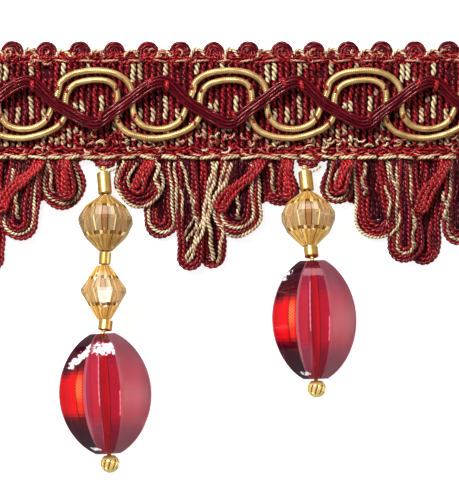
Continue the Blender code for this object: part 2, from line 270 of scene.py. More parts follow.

# %% [markdown]
# ## Yarn, and what its finish is
#
# Rayon yarn is a bundle of long bright fibres. Two or three bundles, the plies, are laid round each other to make
# a cord. What the eye takes for its pattern is the shape of the plies, the dark grooves between them and the fine
# fibres that run with them. Every cord mesh below carries two attributes, so that no picture is needed: `straight`
# is where a point would be if the cord were pulled straight, in millimetres, and `cord` holds how deep it lies in
# a groove, a number drawn for the cord, and how much cream it has there. By that depth the finish paints shade
# into the grooves, over the real grooves of the mesh.


# %% Yarn finish: fibres and clouds to the millimetre along, across and up, and how much each changes the tone
CREAM_TONES = ((0.27, 0.115, 0.032), (1.0, 0.79, 0.47))
RED_GLINT = (1.0, 0.38, 0.35)
WARM_GLINT = (1.0, 0.9, 0.75)
FIBRES = (0.7, 13.0, 13.0)
CLOUDS = (0.45, 0.8, 0.8)
FIBRE_SHARE, CLOUD_SHARE, CORD_SHARE = 2.0, 0.9, 0.5
TONE_START = -1.2
CREAM_LEAD = 0.2
# Painted shade: the grooves between the plies darken towards this share of the deep tone.
GROOVE_SHADE_TONE = 0.1
FIBRE_RISE, PLY_RISE = 0.7, 0.3


def yarn(name, deep, bright, glint=RED_GLINT, gloss=0.7, roughness=0.42, metallic=0.0, groove_shade=0.85):
    """Bright fibres over a deep tone, with painted shade that makes the grooves between the plies nearly black."""
    finish = Finish(name, {"Metallic": metallic, "Specular IOR Level": gloss, "Specular Tint": glint})
    straight = finish.attribute("straight")
    cord = finish.attribute("cord")
    groove, drawn, creamy = (finish.part(cord, axis) for axis in "XYZ")
    fibre = finish.noise(straight, FIBRES)
    cloud = finish.noise(straight, CLOUDS, detail=1.0)
    tone = fibre * FIBRE_SHARE + cloud * CLOUD_SHARE + drawn * CORD_SHARE + TONE_START
    lit = finish.mix(tone, deep, bright)
    pale = finish.mix(tone + CREAM_LEAD, *CREAM_TONES)
    coloured = finish.mix(creamy, lit, pale)
    height = fibre * FIBRE_RISE + (1 - groove) * PLY_RISE
    # Painted shade: the colour darkens towards near-black as deep as a point lies in a groove.
    return finish.wear({
        "Base Color": finish.mix(groove * groove_shade, coloured, tuple(GROOVE_SHADE_TONE * part for part in deep)),
        "Roughness": fibre * -0.25 + roughness,
        "Normal": finish.bump(height, 0.6, 0.05),
    })


BURGUNDY = yarn("burgundy_rayon_yarn", (0.024, 0.0008, 0.004), (0.41, 0.008, 0.017))
BRIGHT_BURGUNDY = yarn("bright_burgundy_yarn", (0.05, 0.001, 0.004), (0.63, 0.018, 0.025))
# Painted shade: a near-black yarn for the strands that fill the hollows of the loops.
PAINTED_SHADE_BURGUNDY = yarn("painted_shade_burgundy_yarn", (0.008, 0.0006, 0.003), (0.07, 0.003, 0.010), gloss=0.3)
FLOSS = yarn("picot_floss", (0.022, 0.0008, 0.004), (0.26, 0.007, 0.015), gloss=0.5)
SATIN = yarn("burgundy_satin_floss", (0.012, 0.0004, 0.003), (0.125, 0.002, 0.008), gloss=0.5, roughness=0.32)
CREAM = yarn("cream_gold_yarn", *CREAM_TONES, WARM_GLINT)
TWO_TONE = yarn("cream_and_burgundy_yarn", (0.04, 0.004, 0.005), (0.40, 0.04, 0.03), WARM_GLINT,
                gloss=0.9, groove_shade=1.1)
SALMON = yarn("salmon_thread", (0.34, 0.06, 0.035), (0.92, 0.42, 0.26), WARM_GLINT)
GOLD_WRAP = yarn("gold_wrapped_cord", (0.25, 0.11, 0.02), (0.92, 0.64, 0.27), WARM_GLINT,
                 metallic=0.5, groove_shade=0.3)
print("finishes so far:", len(bpy.data.materials))

# %% [markdown]
# ## Cords from a path
#
# A trim is cord in every part, so one function makes them all. A path is a row of points; a smooth curve goes
# through them and is cut into even steps. Round each step goes a ring of points. For a laid cord the ring turns
# with the plies and pulls in at each groove, so the grooves are real and catch the light. A wound cord keeps its
# rings still and sinks a fine helix into them instead, because its turns are too short for a ring to follow.


# %% A smooth path in even steps
CUTS_A_SPAN = 10


def smooth(points, step):
    """Points at even steps along a smooth curve through the given ones, all in millimetres."""
    given = np.array(points, dtype=float)
    ends = np.vstack([2 * given[0] - given[1], given, 2 * given[-1] - given[-2]])
    share = np.linspace(0.0, 1.0, CUTS_A_SPAN, endpoint=False)[:, None]
    runs = []
    for a, b, c, d in zip(ends, ends[1:], ends[2:], ends[3:]):
        bend = (2 * a - 5 * b + 4 * c - d) * share**2 + (3 * b - a - 3 * c + d) * share**3
        runs.append(b + ((c - a) * share + bend) / 2)
    fine = np.vstack([*runs, given[-1:]])
    lengths = np.concatenate([[0.0], np.cumsum(np.linalg.norm(np.diff(fine, axis=0), axis=1))])
    count = max(4, round(lengths[-1] / step) + 1)
    even = np.linspace(0.0, lengths[-1], count)
    return np.column_stack([np.interp(even, lengths, fine[:, axis]) for axis in range(given.shape[1])])


# %% Directions along a path
def directions(path):
    """Unit vectors at each point: ahead along the path, to its side, and out of the face."""
    ahead = np.gradient(path, axis=0)
    ahead /= np.linalg.norm(ahead, axis=1, keepdims=True)
    side = np.cross(ahead, UP)
    side /= np.linalg.norm(side, axis=1, keepdims=True)
    return ahead, side, np.cross(side, ahead)


def beside(path, across, lift=0.0):
    """The path moved to its side and up, by one number or by one for each point."""
    side = directions(path)[1]
    return path + side * np.reshape(across, (-1, 1)) + UP * np.reshape(lift, (-1, 1))


# %% Rings of a cord, whose second ply may hold less cream than the first
Cord = namedtuple("Cord", "path width height plies pitch wound phase cream second")
SECOND_PLY_STARTS = -0.1
LATEST_START = 6.0


def any_start(draw):
    """Where a twist or a sway starts, in radians."""
    return draw.uniform(0, LATEST_START)


def waver(draw, length, amount, rate):
    """A sway of this amount and rate along a length, with a start drawn for it."""
    return amount * np.sin(length * rate + any_start(draw))


def cord(path, width, height=None, plies=2, pitch=1.5, wound=False, phase=0.0, cream=0.0, second=1.0):
    return Cord(np.array(path), width, height or width, plies, pitch, wound, phase, cream, second)


def rings_of(one, sides, sink, drawn, place_along):
    """The points of one cord, ring by ring, with their two attributes."""
    side, out = directions(one.path)[1:]
    steps = np.linalg.norm(np.diff(one.path, axis=0), axis=1)
    along = np.concatenate([[0.0], np.cumsum(steps)])[:, None]
    turn = 2 * np.pi * along / one.pitch + one.phase
    angle = 2 * np.pi * np.arange(sides)[None, :] / sides + 0 * along
    if one.wound:
        lobe = np.abs(np.cos((angle - turn) / 2))
        facing = angle
    else:
        lobe = np.abs(np.cos(one.plies * angle / 2)) if one.plies else np.ones_like(angle)
        facing = angle + turn
    reach = 1 - sink * (1 - lobe)
    across = reach * np.cos(facing) * one.width / 2
    outward = reach * np.sin(facing) * one.height / 2
    points = one.path[:, None, :] + side[:, None, :] * across[..., None] + out[:, None, :] * outward[..., None]
    around = one.width / 2 * reach
    drawn_out = place_along + along + 0 * angle
    straight = np.stack([drawn_out, around * np.cos(angle), around * np.sin(angle)], axis=-1)
    cream = np.reshape(one.cream, (-1, 1)) * np.where(np.cos(angle) < SECOND_PLY_STARTS, one.second, 1.0)
    notes = np.stack([1 - lobe, 0 * angle + drawn, cream], axis=-1)
    return points, straight, notes


# %% A mesh, and the notes that it carries for its finish
FIELDS = {"FLOAT": "value", "FLOAT_VECTOR": "vector", "FLOAT_COLOR": "color"}


def finished_mesh(name, points, faces, finish):
    """A smooth mesh of points in millimetres."""
    mesh = bpy.data.meshes.new(name)
    mesh.from_pydata((np.vstack(points) * MM).tolist(), [], faces)
    mesh.shade_smooth()
    mesh.materials.append(finish)
    print(f"{name}: {sum(len(face) - 2 for face in faces)} triangles")
    return mesh


def note(mesh, label, kind, domain, rows):
    """Writes one attribute for every point or every face."""
    layer = mesh.attributes.new(label, kind, domain)
    layer.data.foreach_set(FIELDS[kind], np.array(rows, dtype=np.float32).ravel())


# %% One mesh of many cords, each with fibres of its own from further along the yarn
YARN_BETWEEN = 40.0


def cord_mesh(name, cords, finish, sides=8, sink=0.34):
    """A piece of closed cords, each with flat ends."""
    draw = np.random.default_rng(1)
    points, straights, notes, faces = [], [], [], []
    first = 0
    for place, one in enumerate(cords):
        made = rings_of(one, sides, sink, draw.random(), YARN_BETWEEN * place)
        for rows, more in zip((points, straights, notes), made):
            rows.append(more.reshape(-1, 3))
        count = len(one.path)
        ring = first + sides * np.arange(count - 1)[:, None]
        here = np.arange(sides)[None, :]
        after = (here + 1) % sides
        quads = np.stack([ring + here, ring + sides + here, ring + sides + after, ring + after], axis=-1)
        faces += quads.reshape(-1, 4).tolist()
        faces.append(list(range(first, first + sides)))
        first += count * sides
        faces.append(list(range(first - 1, first - sides - 1, -1)))
    mesh = finished_mesh(name, points, faces, finish)
    note(mesh, "straight", "FLOAT_VECTOR", "POINT", np.vstack(straights))
    note(mesh, "cord", "FLOAT_VECTOR", "POINT", np.vstack(notes))
    return add(name, mesh)


def place_piece(piece, slot, *nodes):
    """Rides a piece on the trim and hides the solids that it stands for. The slot is not used."""
    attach(piece, "root")
    if nodes:
        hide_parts(*nodes)
    return piece


# %% [markdown]
# ## The ground of the heading
#
# The heading is woven on a narrow loom. A thin ground holds it together at the back, and over it some ninety
# twisted cords run from edge to edge, side by side, two plies each. Most are burgundy. In each repeat a few turn
# cream, and they show in the windows between the gold cords. The ground is one thin slab with a plain weave in its
# finish, darkened nearly to black as painted shade for the gaps between the cords. The cords are real twisted
# cords, because their lobes are what makes the heading glitter.


# %% Thin woven ground
GROUND_THICKNESS = 0.72
GROUND_THREAD = 0.25
# Painted shade: the ground's dark thread is darkened nearly to black, so the gaps between the cords read deep.
GROUND_AND_GAP_SHADE_TONES = ((0.010, 0.0008, 0.002), (0.06, 0.003, 0.008))
GROUND_GRAINS = 1500.0


def ground_finish():
    """Plain weave of dark thread in painted shade: waves of crossing threads, a quarter of a millimetre apart."""
    cloth = Finish("dark_woven_ground", {"Roughness": 0.85, "Specular IOR Level": 0.1})
    place = cloth.place()
    along, up = ((cloth.part(place, axis) * (2 * math.pi / (GROUND_THREAD * MM))).sine() for axis in "XY")
    weave = along * up * 0.5 + 0.5
    tone = weave * 0.6 + cloth.noise(place, GROUND_GRAINS) * 0.4
    return cloth.wear({"Base Color": cloth.mix(tone, *GROUND_AND_GAP_SHADE_TONES), "Normal": cloth.bump(weave, 0.5, 0.04)})


def heading_ground():
    bpy.ops.mesh.primitive_cube_add(size=1.0)
    slab = bpy.context.object
    slab.name = "heading_ground"
    size = Vector((TRIM_LENGTH, BAND_TOP - BAND_BOTTOM, GROUND_THICKNESS)) * MM
    middle = Vector((0.0, (BAND_TOP + BAND_BOTTOM) / 2, GROUND_THICKNESS / 2)) * MM
    slab.data.transform(Matrix.Translation(middle) @ Matrix.Diagonal((*size, 1.0)))
    slab.data.materials.append(ground_finish())
    return place_piece(slab, "burgundy_yarn", "heading_band")


ground = heading_ground()

# %% Cream in the cords: along from a gold arch's middle, from which height down to which, and how much
Cream = namedtuple("Cream", "along top bottom much")
CREAM_RUNS = [Cream(*row) for row in (
    (9.9, 27.9, 26.2, 1.0), (9.9, 23.2, 19.9, 1.0), (11.8, 21.2, 19.9, 0.8), (8.0, 21.4, 19.4, 0.9),
    (6.2, 21.2, 19.2, 0.7), (6.2, 27.9, 25.6, 1.0), (5.3, 27.7, 25.2, 0.9), (0.7, 23.2, 21.0, 1.0),
    (-1.2, 27.9, 27.2, 1.0), (-2.1, 22.4, 20.9, 1.0), (-3.0, 22.1, 21.2, 1.0), (-4.0, 24.6, 23.6, 0.8),
    (-4.9, 27.9, 26.4, 1.0), (-4.0, 18.4, 17.0, 0.7), (-2.1, 17.4, 16.2, 1.0), (2.5, 19.4, 18.2, 1.0),
    (-5.8, 17.0, 16.1, 0.7), (-7.7, 17.4, 16.2, 0.8), (6.2, 16.8, 15.9, 1.0), (8.0, 16.6, 15.9, 0.9),
)]
HOLLOW_PLACE = -6.8
HOLLOW_BOTTOM, HOLLOW_TOP, HOLLOW_DEPTH = 25.5, 27.4, 0.45

# %% Upright cords of the ground
CORDS_A_REPEAT = 21
GROUND_CORD_PITCH = BRAID_REPEAT / CORDS_A_REPEAT
GROUND_CORD_WIDTH, GROUND_CORD_HEIGHT, GROUND_CORD_LIFT = 0.80, 0.86, 0.96
CORD_ROW_BOTTOM, CORD_ROW_TOP = 15.75, 28.15
END_MARGIN = 0.4
SALMON_BAND = 19.0
SALMON_LOBES = 3
LOBE_HALF, FLECK_HALF = 0.32, 0.3
LOBE_CREAM = (0.0, 0.0, 0.3, 0.6)
FLECK_CREAM = (0.0, 0.0, 0.0, 0.5)


def in_repeat(distance):
    """A distance along the trim less whole repeats of the braid, so that half a repeat is the most."""
    return (distance + BRAID_REPEAT / 2) % BRAID_REPEAT - BRAID_REPEAT / 2


def ground_cords():
    """Upright cords, each with its own turn, its cream stretches and some salmon lobes near its foot."""
    draw = np.random.default_rng(3)
    made = []
    count = round(TRIM_LENGTH / GROUND_CORD_PITCH)
    for place in range(count):
        along = -HALF_LENGTH + TRIM_LENGTH * (place + 0.5) / count
        up = np.arange(CORD_ROW_BOTTOM, CORD_ROW_TOP, 0.17)
        wander = waver(draw, up, 0.08, 1.1) + waver(draw, up, 0.05, 2.9)
        lift = GROUND_CORD_LIFT + waver(draw, up, 0.13, 1.7)
        inside = np.clip(along + wander, -HALF_LENGTH + END_MARGIN, HALF_LENGTH - END_MARGIN)
        from_arch = in_repeat(along - FIRST_ARCH)
        cream = np.zeros_like(up)
        for _ in range(SALMON_LOBES):
            middle = draw.uniform(CORD_ROW_BOTTOM, SALMON_BAND)
            cream[abs(up - middle) < LOBE_HALF] = draw.choice(LOBE_CREAM)
        fleck = draw.uniform(SALMON_BAND, CORD_ROW_TOP)
        cream[abs(up - fleck) < FLECK_HALF] = draw.choice(FLECK_CREAM)
        for run in CREAM_RUNS:
            if abs(in_repeat(from_arch - run.along)) < GROUND_CORD_PITCH / 2:
                cream[(up < run.top) & (up > run.bottom)] = run.much
        if abs(from_arch - HOLLOW_PLACE) < GROUND_CORD_PITCH:
            lift -= HOLLOW_DEPTH * ((up > HOLLOW_BOTTOM) & (up < HOLLOW_TOP))
        path = np.column_stack([inside, up, lift])
        turn = draw.uniform(1.5, 1.9)
        phase = any_start(draw)
        made.append(cord(path, GROUND_CORD_WIDTH, GROUND_CORD_HEIGHT, pitch=turn, phase=phase, cream=cream))
    return made


ground_cord_mesh = cord_mesh("ground_cords", ground_cords(), BURGUNDY, sides=12, sink=0.6)
ground_cord_rows = place_piece(ground_cord_mesh, "burgundy_yarn", "heading_band")

# %% [markdown]
# ## Two wrapped gold cords
#
# A wrapped cord is a core of yarn with a metallic thread wound tightly round it, so it bends smoothly and shines
# like a rod with fine rings. Both cords run side by side in one serpentine: up over an arch, down between two, and
# under the next. They could be drawn as tubes with rings painted on. Here the windings are sunk into the mesh, so
# that the rings also show along the outline, and the finish paints a little shade into their grooves.

# %% The gold cords' course: along from an arch's middle, and up
UPPER_CORD = [
    (-5.51, 23.8), (-5.08, 25.2), (-3.19, 26.4), (0.0, 26.83), (2.61, 26.4), (4.35, 25.25), (5.15, 23.7),
    (5.22, 21.2), (5.80, 19.72), (6.96, 18.71), (8.70, 18.34), (10.59, 18.63), (12.04, 19.58), (13.0, 21.4),
]
LOWER_CORD = [
    (-4.50, 22.4), (-4.21, 23.6), (-3.19, 24.8), (-1.02, 25.4), (1.30, 25.33), (2.66, 24.45), (3.05, 22.8),
    (2.85, 20.2), (3.92, 18.27), (5.95, 17.33), (8.85, 17.04), (11.75, 17.69), (13.92, 18.85), (15.0, 20.5),
]
GOLD_WIDTH = 0.90
GOLD_HEIGHT = GOLD_WIDTH * 1.04
GOLD_LIFT = 1.98
WINDING_PITCH = 0.27
RINGS_A_WINDING = 5
CORD_END = HALF_LENGTH - 0.6


def along_trim(row, first, lift, step):
    """A repeat of (along, up) points carried along the whole trim, smooth, and cut at its two ends."""
    points = [(first + k * BRAID_REPEAT + along, up, lift) for k in REPEATS for along, up in row]
    path = smooth(points, step)
    return path[np.abs(path[:, 0]) < CORD_END]


for name, row in (("gold_cord_upper", UPPER_CORD), ("gold_cord_lower", LOWER_CORD)):
    path = along_trim(row, FIRST_ARCH, GOLD_LIFT, WINDING_PITCH / RINGS_A_WINDING)
    wrapped = cord(path, GOLD_WIDTH, GOLD_HEIGHT, pitch=WINDING_PITCH, wound=True)
    place_piece(cord_mesh(f"wrapped_{name}", [wrapped], GOLD_WRAP, sides=14, sink=0.035), "gold_yarn", name)

# %% [markdown]
# ## The satin zigzag
#
# Over the gold lies a flat bundle of four satin strands. Satin floss has hardly any twist, so each strand is a
# smooth rod that shows one long thin highlight. The bundle dips to the ground between two crossings, and red
# stitches hold it down at each turn.

# %% The zigzag's course: along from its crest, and up
ZIGZAG = [
    (0.0, 25.2), (1.45, 24.7), (2.75, 23.4), (4.35, 21.95), (6.38, 20.85), (8.27, 19.76), (9.72, 19.17),
    (11.0, 19.5), (12.4, 20.6), (15.08, 22.6), (17.40, 24.4),
]
FIRST_CREST = -26.2
ZIGZAG_LIFT = 3.05
STRANDS_ACROSS = 4
STRAND_APART = 0.43
SATIN_WIDTH, SATIN_HEIGHT, SATIN_TURN = 0.45, 0.52, 9.0


def zigzag_strands():
    """Strands side by side over a low crown, which spread, dip and ripple a little along the way."""
    middle = along_trim(ZIGZAG, FIRST_CREST, ZIGZAG_LIFT, 0.25)
    from_crest = 2 * np.pi * (middle[:, 0] - FIRST_CREST) / BRAID_REPEAT
    made = []
    for place in range(STRANDS_ACROSS):
        from_middle = place - (STRANDS_ACROSS - 1) / 2
        across = from_middle * STRAND_APART
        spread = 1 + 0.12 * np.sin(from_crest * 2 + place)
        crown = 0.10 - 0.16 * (from_middle / 1.5) ** 2
        dip = -0.22 * np.sin(from_crest * 2 + 0.7) ** 2
        ripple = 0.07 * np.sin(from_crest * 5 + 2 * place)
        path = beside(middle, across * spread, crown + dip + ripple)
        made.append(cord(path, SATIN_WIDTH, SATIN_HEIGHT, plies=0, pitch=SATIN_TURN, phase=place))
    return made


place_piece(cord_mesh("zigzag_strands", zigzag_strands(), SATIN), "burgundy_satin", "zigzag_cord")

# %% [markdown]
# ## Picots along the top
#
# A picot is a small loop of floss left standing at the loom's edge. Here each is four threads of floss, one inside
# the other. The middle ones lie highest, so that it makes a small mound with a dark dimple. A short arch of cream
# yarn joins it to the next one.

# %% Picots: each thread's radius, how high it lies and its width, from the outside in
PICOT_PITCH = 4.858
FIRST_PICOT = -3.8
PICOT_CENTRE = 29.5
PICOT_FOOT = 28.2
FOOT_SPREAD, FOOT_RISE = 1.15, 0.25
ARCH_STEPS = 6
PicotThread = namedtuple("PicotThread", "radius lift width")
PICOT_THREADS = [PicotThread(*row) for row in (
    (1.42, 0.50, 0.50), (1.00, 0.74, 0.52), (0.58, 0.80, 0.50), (0.18, 0.52, 0.44),
)]
middles = [FIRST_PICOT + k * PICOT_PITCH for k in range(-9, 11)]
PICOT_MIDDLES = [middle for middle in middles if abs(middle) < HALF_LENGTH - 1.8]
print("picots:", len(PICOT_MIDDLES))


def arch(middle, radius, lift):
    """A thread that rises from its foot, goes over an arch and comes down, with its feet drawn apart."""
    turns = [math.pi * (1 - step / ARCH_STEPS) for step in range(ARCH_STEPS + 1)]
    over = [(middle + radius * math.cos(t), PICOT_CENTRE + radius * math.sin(t), lift) for t in turns]
    left, right = ((middle + side * radius * FOOT_SPREAD, PICOT_FOOT, lift + FOOT_RISE) for side in (-1, 1))
    return smooth([left, *over, right], 0.2)


def picot_threads():
    draw = np.random.default_rng(5)
    made = []
    for middle in PICOT_MIDDLES:
        size = draw.uniform(0.93, 1.04)
        shift = draw.uniform(-0.12, 0.12)
        for thread in PICOT_THREADS:
            path = arch(middle + shift + draw.uniform(-0.04, 0.04), thread.radius * size, thread.lift)
            path[:, 2] += waver(draw, path[:, 0], 0.08, 3.0)
            made.append(cord(path, thread.width, thread.width * 1.3, pitch=3.1, phase=any_start(draw)))
    return made


# %% The cream arches between two picots
LINK_TOP = 29.85
LINK_FEET = (28.7, 28.8)
LINK_LIFTS = (1.15, 1.25, 1.2, 1.25, 1.15)
LINK_WIDTH, LINK_HEIGHT = 0.52, 0.48


def picot_links():
    """Low arches of cream yarn, each with shoulders of its own."""
    draw = np.random.default_rng(6)
    made = []
    for middle in PICOT_MIDDLES:
        at = middle + PICOT_PITCH / 2
        if at > HALF_LENGTH - 1.2:
            continue
        half = draw.uniform(0.9, 1.2)
        top = LINK_TOP + draw.uniform(-0.15, 0.15)
        shoulders = [top - draw.uniform(0.0, 0.4) for _ in range(2)]
        across = [at - half, at - half * 0.5, at, at + half * 0.55, at + half]
        up = [LINK_FEET[0], shoulders[0], top, shoulders[1], LINK_FEET[1]]
        path = smooth(list(zip(across, up, LINK_LIFTS)), 0.16)
        made.append(cord(path, LINK_WIDTH, LINK_HEIGHT, pitch=1.3, phase=any_start(draw), cream=1.0))
    return made


place_piece(cord_mesh("picot_threads", picot_threads(), FLOSS, sink=0.22), "burgundy_satin", "picot_edging")
place_piece(cord_mesh("picot_links", picot_links(), CREAM, sink=0.4), "gold_yarn", "picot_edging")

# %% [markdown]
# ## Stitches along both edges
#
# Two rows of stitches close the heading. A salmon thread runs under the picots, and a heavier cream one holds the
# roots of the loops. Each stitch comes up, lies on the face for a couple of millimetres and goes down again, so
# it is a short cord whose ends dip. Rows of burgundy cord fill the space behind both, and crossing stitches and
# small curls of thread lie over them, because a real edge is never tidy.


# %% Rows of stitches: how high up and out of the face, each one's length, the pitch, the width, and how varied
Dashes = namedtuple("Dashes", "up lift reach pitch width seed tilt skip cream")
CREAM_ROW = Dashes(14.25, 2.2, 2.5, 2.9, 0.52, seed=11, tilt=0.26, skip=0.0, cream=1.0)
SALMON_TOP_ROW = Dashes(28.25, 1.5, 2.3, 3.4, 0.36, seed=13, tilt=0.18, skip=0.1, cream=0.0)
SALMON_LOW_ROW = Dashes(14.6, 1.9, 1.9, 2.3, 0.36, seed=14, tilt=0.3, skip=0.0, cream=0.0)
DASH_RISE = [(0.0, -0.55), (0.18, -0.1), (0.5, 0.12), (0.82, -0.05), (1.0, -0.5)]
FLAT_DASH = 0.8


def dashes(row):
    """Stitches of uneven length along the whole heading. Some tilt, and a share of them is left out."""
    draw = np.random.default_rng(row.seed)
    made = []
    along = -HALF_LENGTH + 0.5
    while along + row.reach < HALF_LENGTH - 0.3:
        long = row.reach * draw.uniform(0.75, 1.12)
        slope = draw.uniform(-row.tilt, row.tilt)
        if draw.random() >= row.skip:
            corners = [
                (along + long * share, row.up + slope * (share - 0.5) * 2, row.lift + z) for share, z in DASH_RISE
            ]
            thick = row.width * draw.uniform(0.85, 1.15)
            phase = any_start(draw)
            path = smooth(corners, 0.14)
            made.append(cord(path, thick, thick * FLAT_DASH, pitch=1.2, phase=phase, cream=row.cream))
        along += row.pitch * draw.uniform(0.9, 1.1)
    return made


def stitch_piece(name, cords, finish, slot):
    """A piece of stitches or thread ends, which stands for no solid."""
    return place_piece(cord_mesh(name, cords, finish, sink=0.3), slot)


stitch_piece("cream_stitches", dashes(CREAM_ROW), CREAM, "gold_thread")
stitch_piece("salmon_stitches", dashes(SALMON_TOP_ROW) + dashes(SALMON_LOW_ROW), SALMON, "gold_thread")

# %% Burgundy rows that fill both edges: the lower three, in which the loops are rooted, and the upper six
EdgeRow = namedtuple("EdgeRow", "up lift width phase")
LOWER_ROWS = [EdgeRow(15.35, 1.15, 0.72, 0.0), EdgeRow(14.75, 1.15, 0.7, 2.0), EdgeRow(14.1, 1.35, 0.8, 4.0)]
UPPER_ROWS = [
    EdgeRow(28.2, 0.9, 0.66, 1.0), EdgeRow(28.65, 0.85, 0.66, 3.0), EdgeRow(29.15, 0.7, 0.62, 5.0),
    EdgeRow(29.5, 0.4, 0.7, 2.0), EdgeRow(28.35, 0.42, 0.8, 0.5), EdgeRow(28.9, 0.42, 0.8, 4.0),
]


def edge_rows(rows, margin, sway, sway_rate, ripple):
    """Cords along the heading, up to a margin from its ends, that sway up and down and ripple out of the face."""
    made = []
    along = np.arange(-HALF_LENGTH + margin, HALF_LENGTH - margin, 0.16)
    for row in rows:
        up = row.up + sway * np.sin(along * sway_rate + row.phase)
        path = np.column_stack([along, up, row.lift + ripple * np.sin(along * 1.3 + row.phase)])
        made.append(cord(path, row.width, row.width * 0.9, pitch=1.25, phase=row.phase))
    return made


edges = edge_rows(LOWER_ROWS, 0.3, 0.14, 2.3, 0.06) + edge_rows(UPPER_ROWS, 0.4, 0.12, 1.29, 0.0)
place_piece(cord_mesh("edge_rows", edges, BURGUNDY, sink=0.36), "burgundy_yarn", "heading_band")

# %% Crossing stitches, which hide the rows: how high up and out of the face, and the seed
CROSSINGS = [(14.5, 1.75, 31), (15.0, 1.7, 32), (15.5, 1.65, 33), (28.7, 1.25, 34), (29.05, 1.15, 35)]
crossing = []
for up, lift, seed in CROSSINGS:
    crossing += dashes(Dashes(up, lift, 1.5, 1.05, 0.40, seed, tilt=0.5, skip=0.15, cream=0.0))
stitch_piece("crossing_stitches", crossing, BRIGHT_BURGUNDY, "burgundy_yarn")

# %% Small curls, which make both edges look busy
CURL_STEPS = 6
CURL_RISE = np.sin(np.linspace(0, math.pi, CURL_STEPS)) * 0.3 - 0.15
CURL_MARGIN = 1.3
CURLS_A_PICOT = 3


def curl(draw, along, up, lift, smallest=0.3, largest=0.75, cream=0.0):
    """A short end of thread, bent in an arc of its own."""
    radius = draw.uniform(smallest, largest)
    turns = draw.uniform(0, 2 * math.pi) + draw.uniform(1.3, 2.8) * np.linspace(0, 1, CURL_STEPS)
    path = [along + radius * np.cos(turns), up + radius * 0.8 * np.sin(turns), lift + CURL_RISE]
    width = draw.uniform(0.26, 0.38)
    return cord(smooth(np.column_stack(path), 0.12), width, pitch=0.9, phase=any_start(draw), cream=cream)


def curls(count, low, high, lift, seed, cream=0.0):
    """Short ends of thread anywhere on a strip of the face."""
    draw = np.random.default_rng(seed)
    end = HALF_LENGTH - CURL_MARGIN
    places = [(draw.uniform(-end, end), draw.uniform(low, high)) for _ in range(count)]
    return [curl(draw, along, up, lift, cream=cream) for along, up in places]


def picot_curls():
    """Ends in the heart of each picot, so that it looks tufted."""
    draw = np.random.default_rng(46)
    return [
        curl(draw, middle + draw.uniform(-0.45, 0.45), PICOT_CENTRE + draw.uniform(-0.7, 0.3), 1.12, 0.2, 0.5)
        for middle in PICOT_MIDDLES for _ in range(CURLS_A_PICOT)
    ]


red_curls = curls(70, 15.6, 18.2, 1.5, seed=41) + curls(50, 27.0, 29.4, 1.45, seed=42) + picot_curls()
stitch_piece("red_curls", red_curls, BRIGHT_BURGUNDY, "burgundy_yarn")
pale_curls = curls(70, 14.9, 17.8, 1.75, seed=43) + curls(64, 28.2, 29.7, 1.4, seed=44)
stitch_piece("salmon_curls", pale_curls, SALMON, "gold_thread")
stitch_piece("cream_curls", curls(40, 15.2, 17.4, 1.8, seed=45, cream=1.0), CREAM, "gold_thread")

# %% Tie stitches over the cords: along from an arch's middle, up, height, and half length
Tie = namedtuple("Tie", "along up lift reach")
TIES = [Tie(*row) for row in (
    (0.5, 20.1, 3.45, 0.75), (7.7, 25.0, 3.45, 0.75), (10.2, 24.6, 3.45, 0.75), (-5.6, 24.3, 2.45, 0.5),
    (-4.3, 23.9, 2.45, 0.5), (2.9, 24.3, 2.45, 0.5), (5.5, 20.2, 2.45, 0.5), (12.3, 19.9, 2.45, 0.5),
    (3.2, 19.5, 2.45, 0.5), (14.2, 19.2, 2.45, 0.5),
)]
TIE_RISE = [(-1.0, -0.85), (-0.62, -0.12), (0.0, 0.08), (0.62, -0.12), (1.0, -0.85)]
TIE_WIDTH, TIE_FLATNESS = 0.86, 0.6
MOST_LEAN = 0.5


def tie_stitches():
    """Short stitches across a cord, each with a lean of its own and its two ends down in the braid."""
    draw = np.random.default_rng(17)
    made = []
    for k in REPEATS:
        for tie in TIES:
            along = FIRST_ARCH + k * BRAID_REPEAT + tie.along
            if abs(along) > HALF_LENGTH - 1.2:
                continue
            turn = draw.uniform(-MOST_LEAN, MOST_LEAN)
            lean = Vector((math.sin(turn), math.cos(turn)))
            steps = [(share * tie.reach, z) for share, z in TIE_RISE]
            corners = [(along + lean.x * step, tie.up + lean.y * step, tie.lift + z) for step, z in steps]
            width = TIE_WIDTH * tie.reach
            phase = any_start(draw)
            made.append(cord(smooth(corners, 0.1), width, width * TIE_FLATNESS, pitch=1.1, phase=phase))
    return made


stitch_piece("tie_stitches", tie_stitches(), BRIGHT_BURGUNDY, "burgundy_yarn")
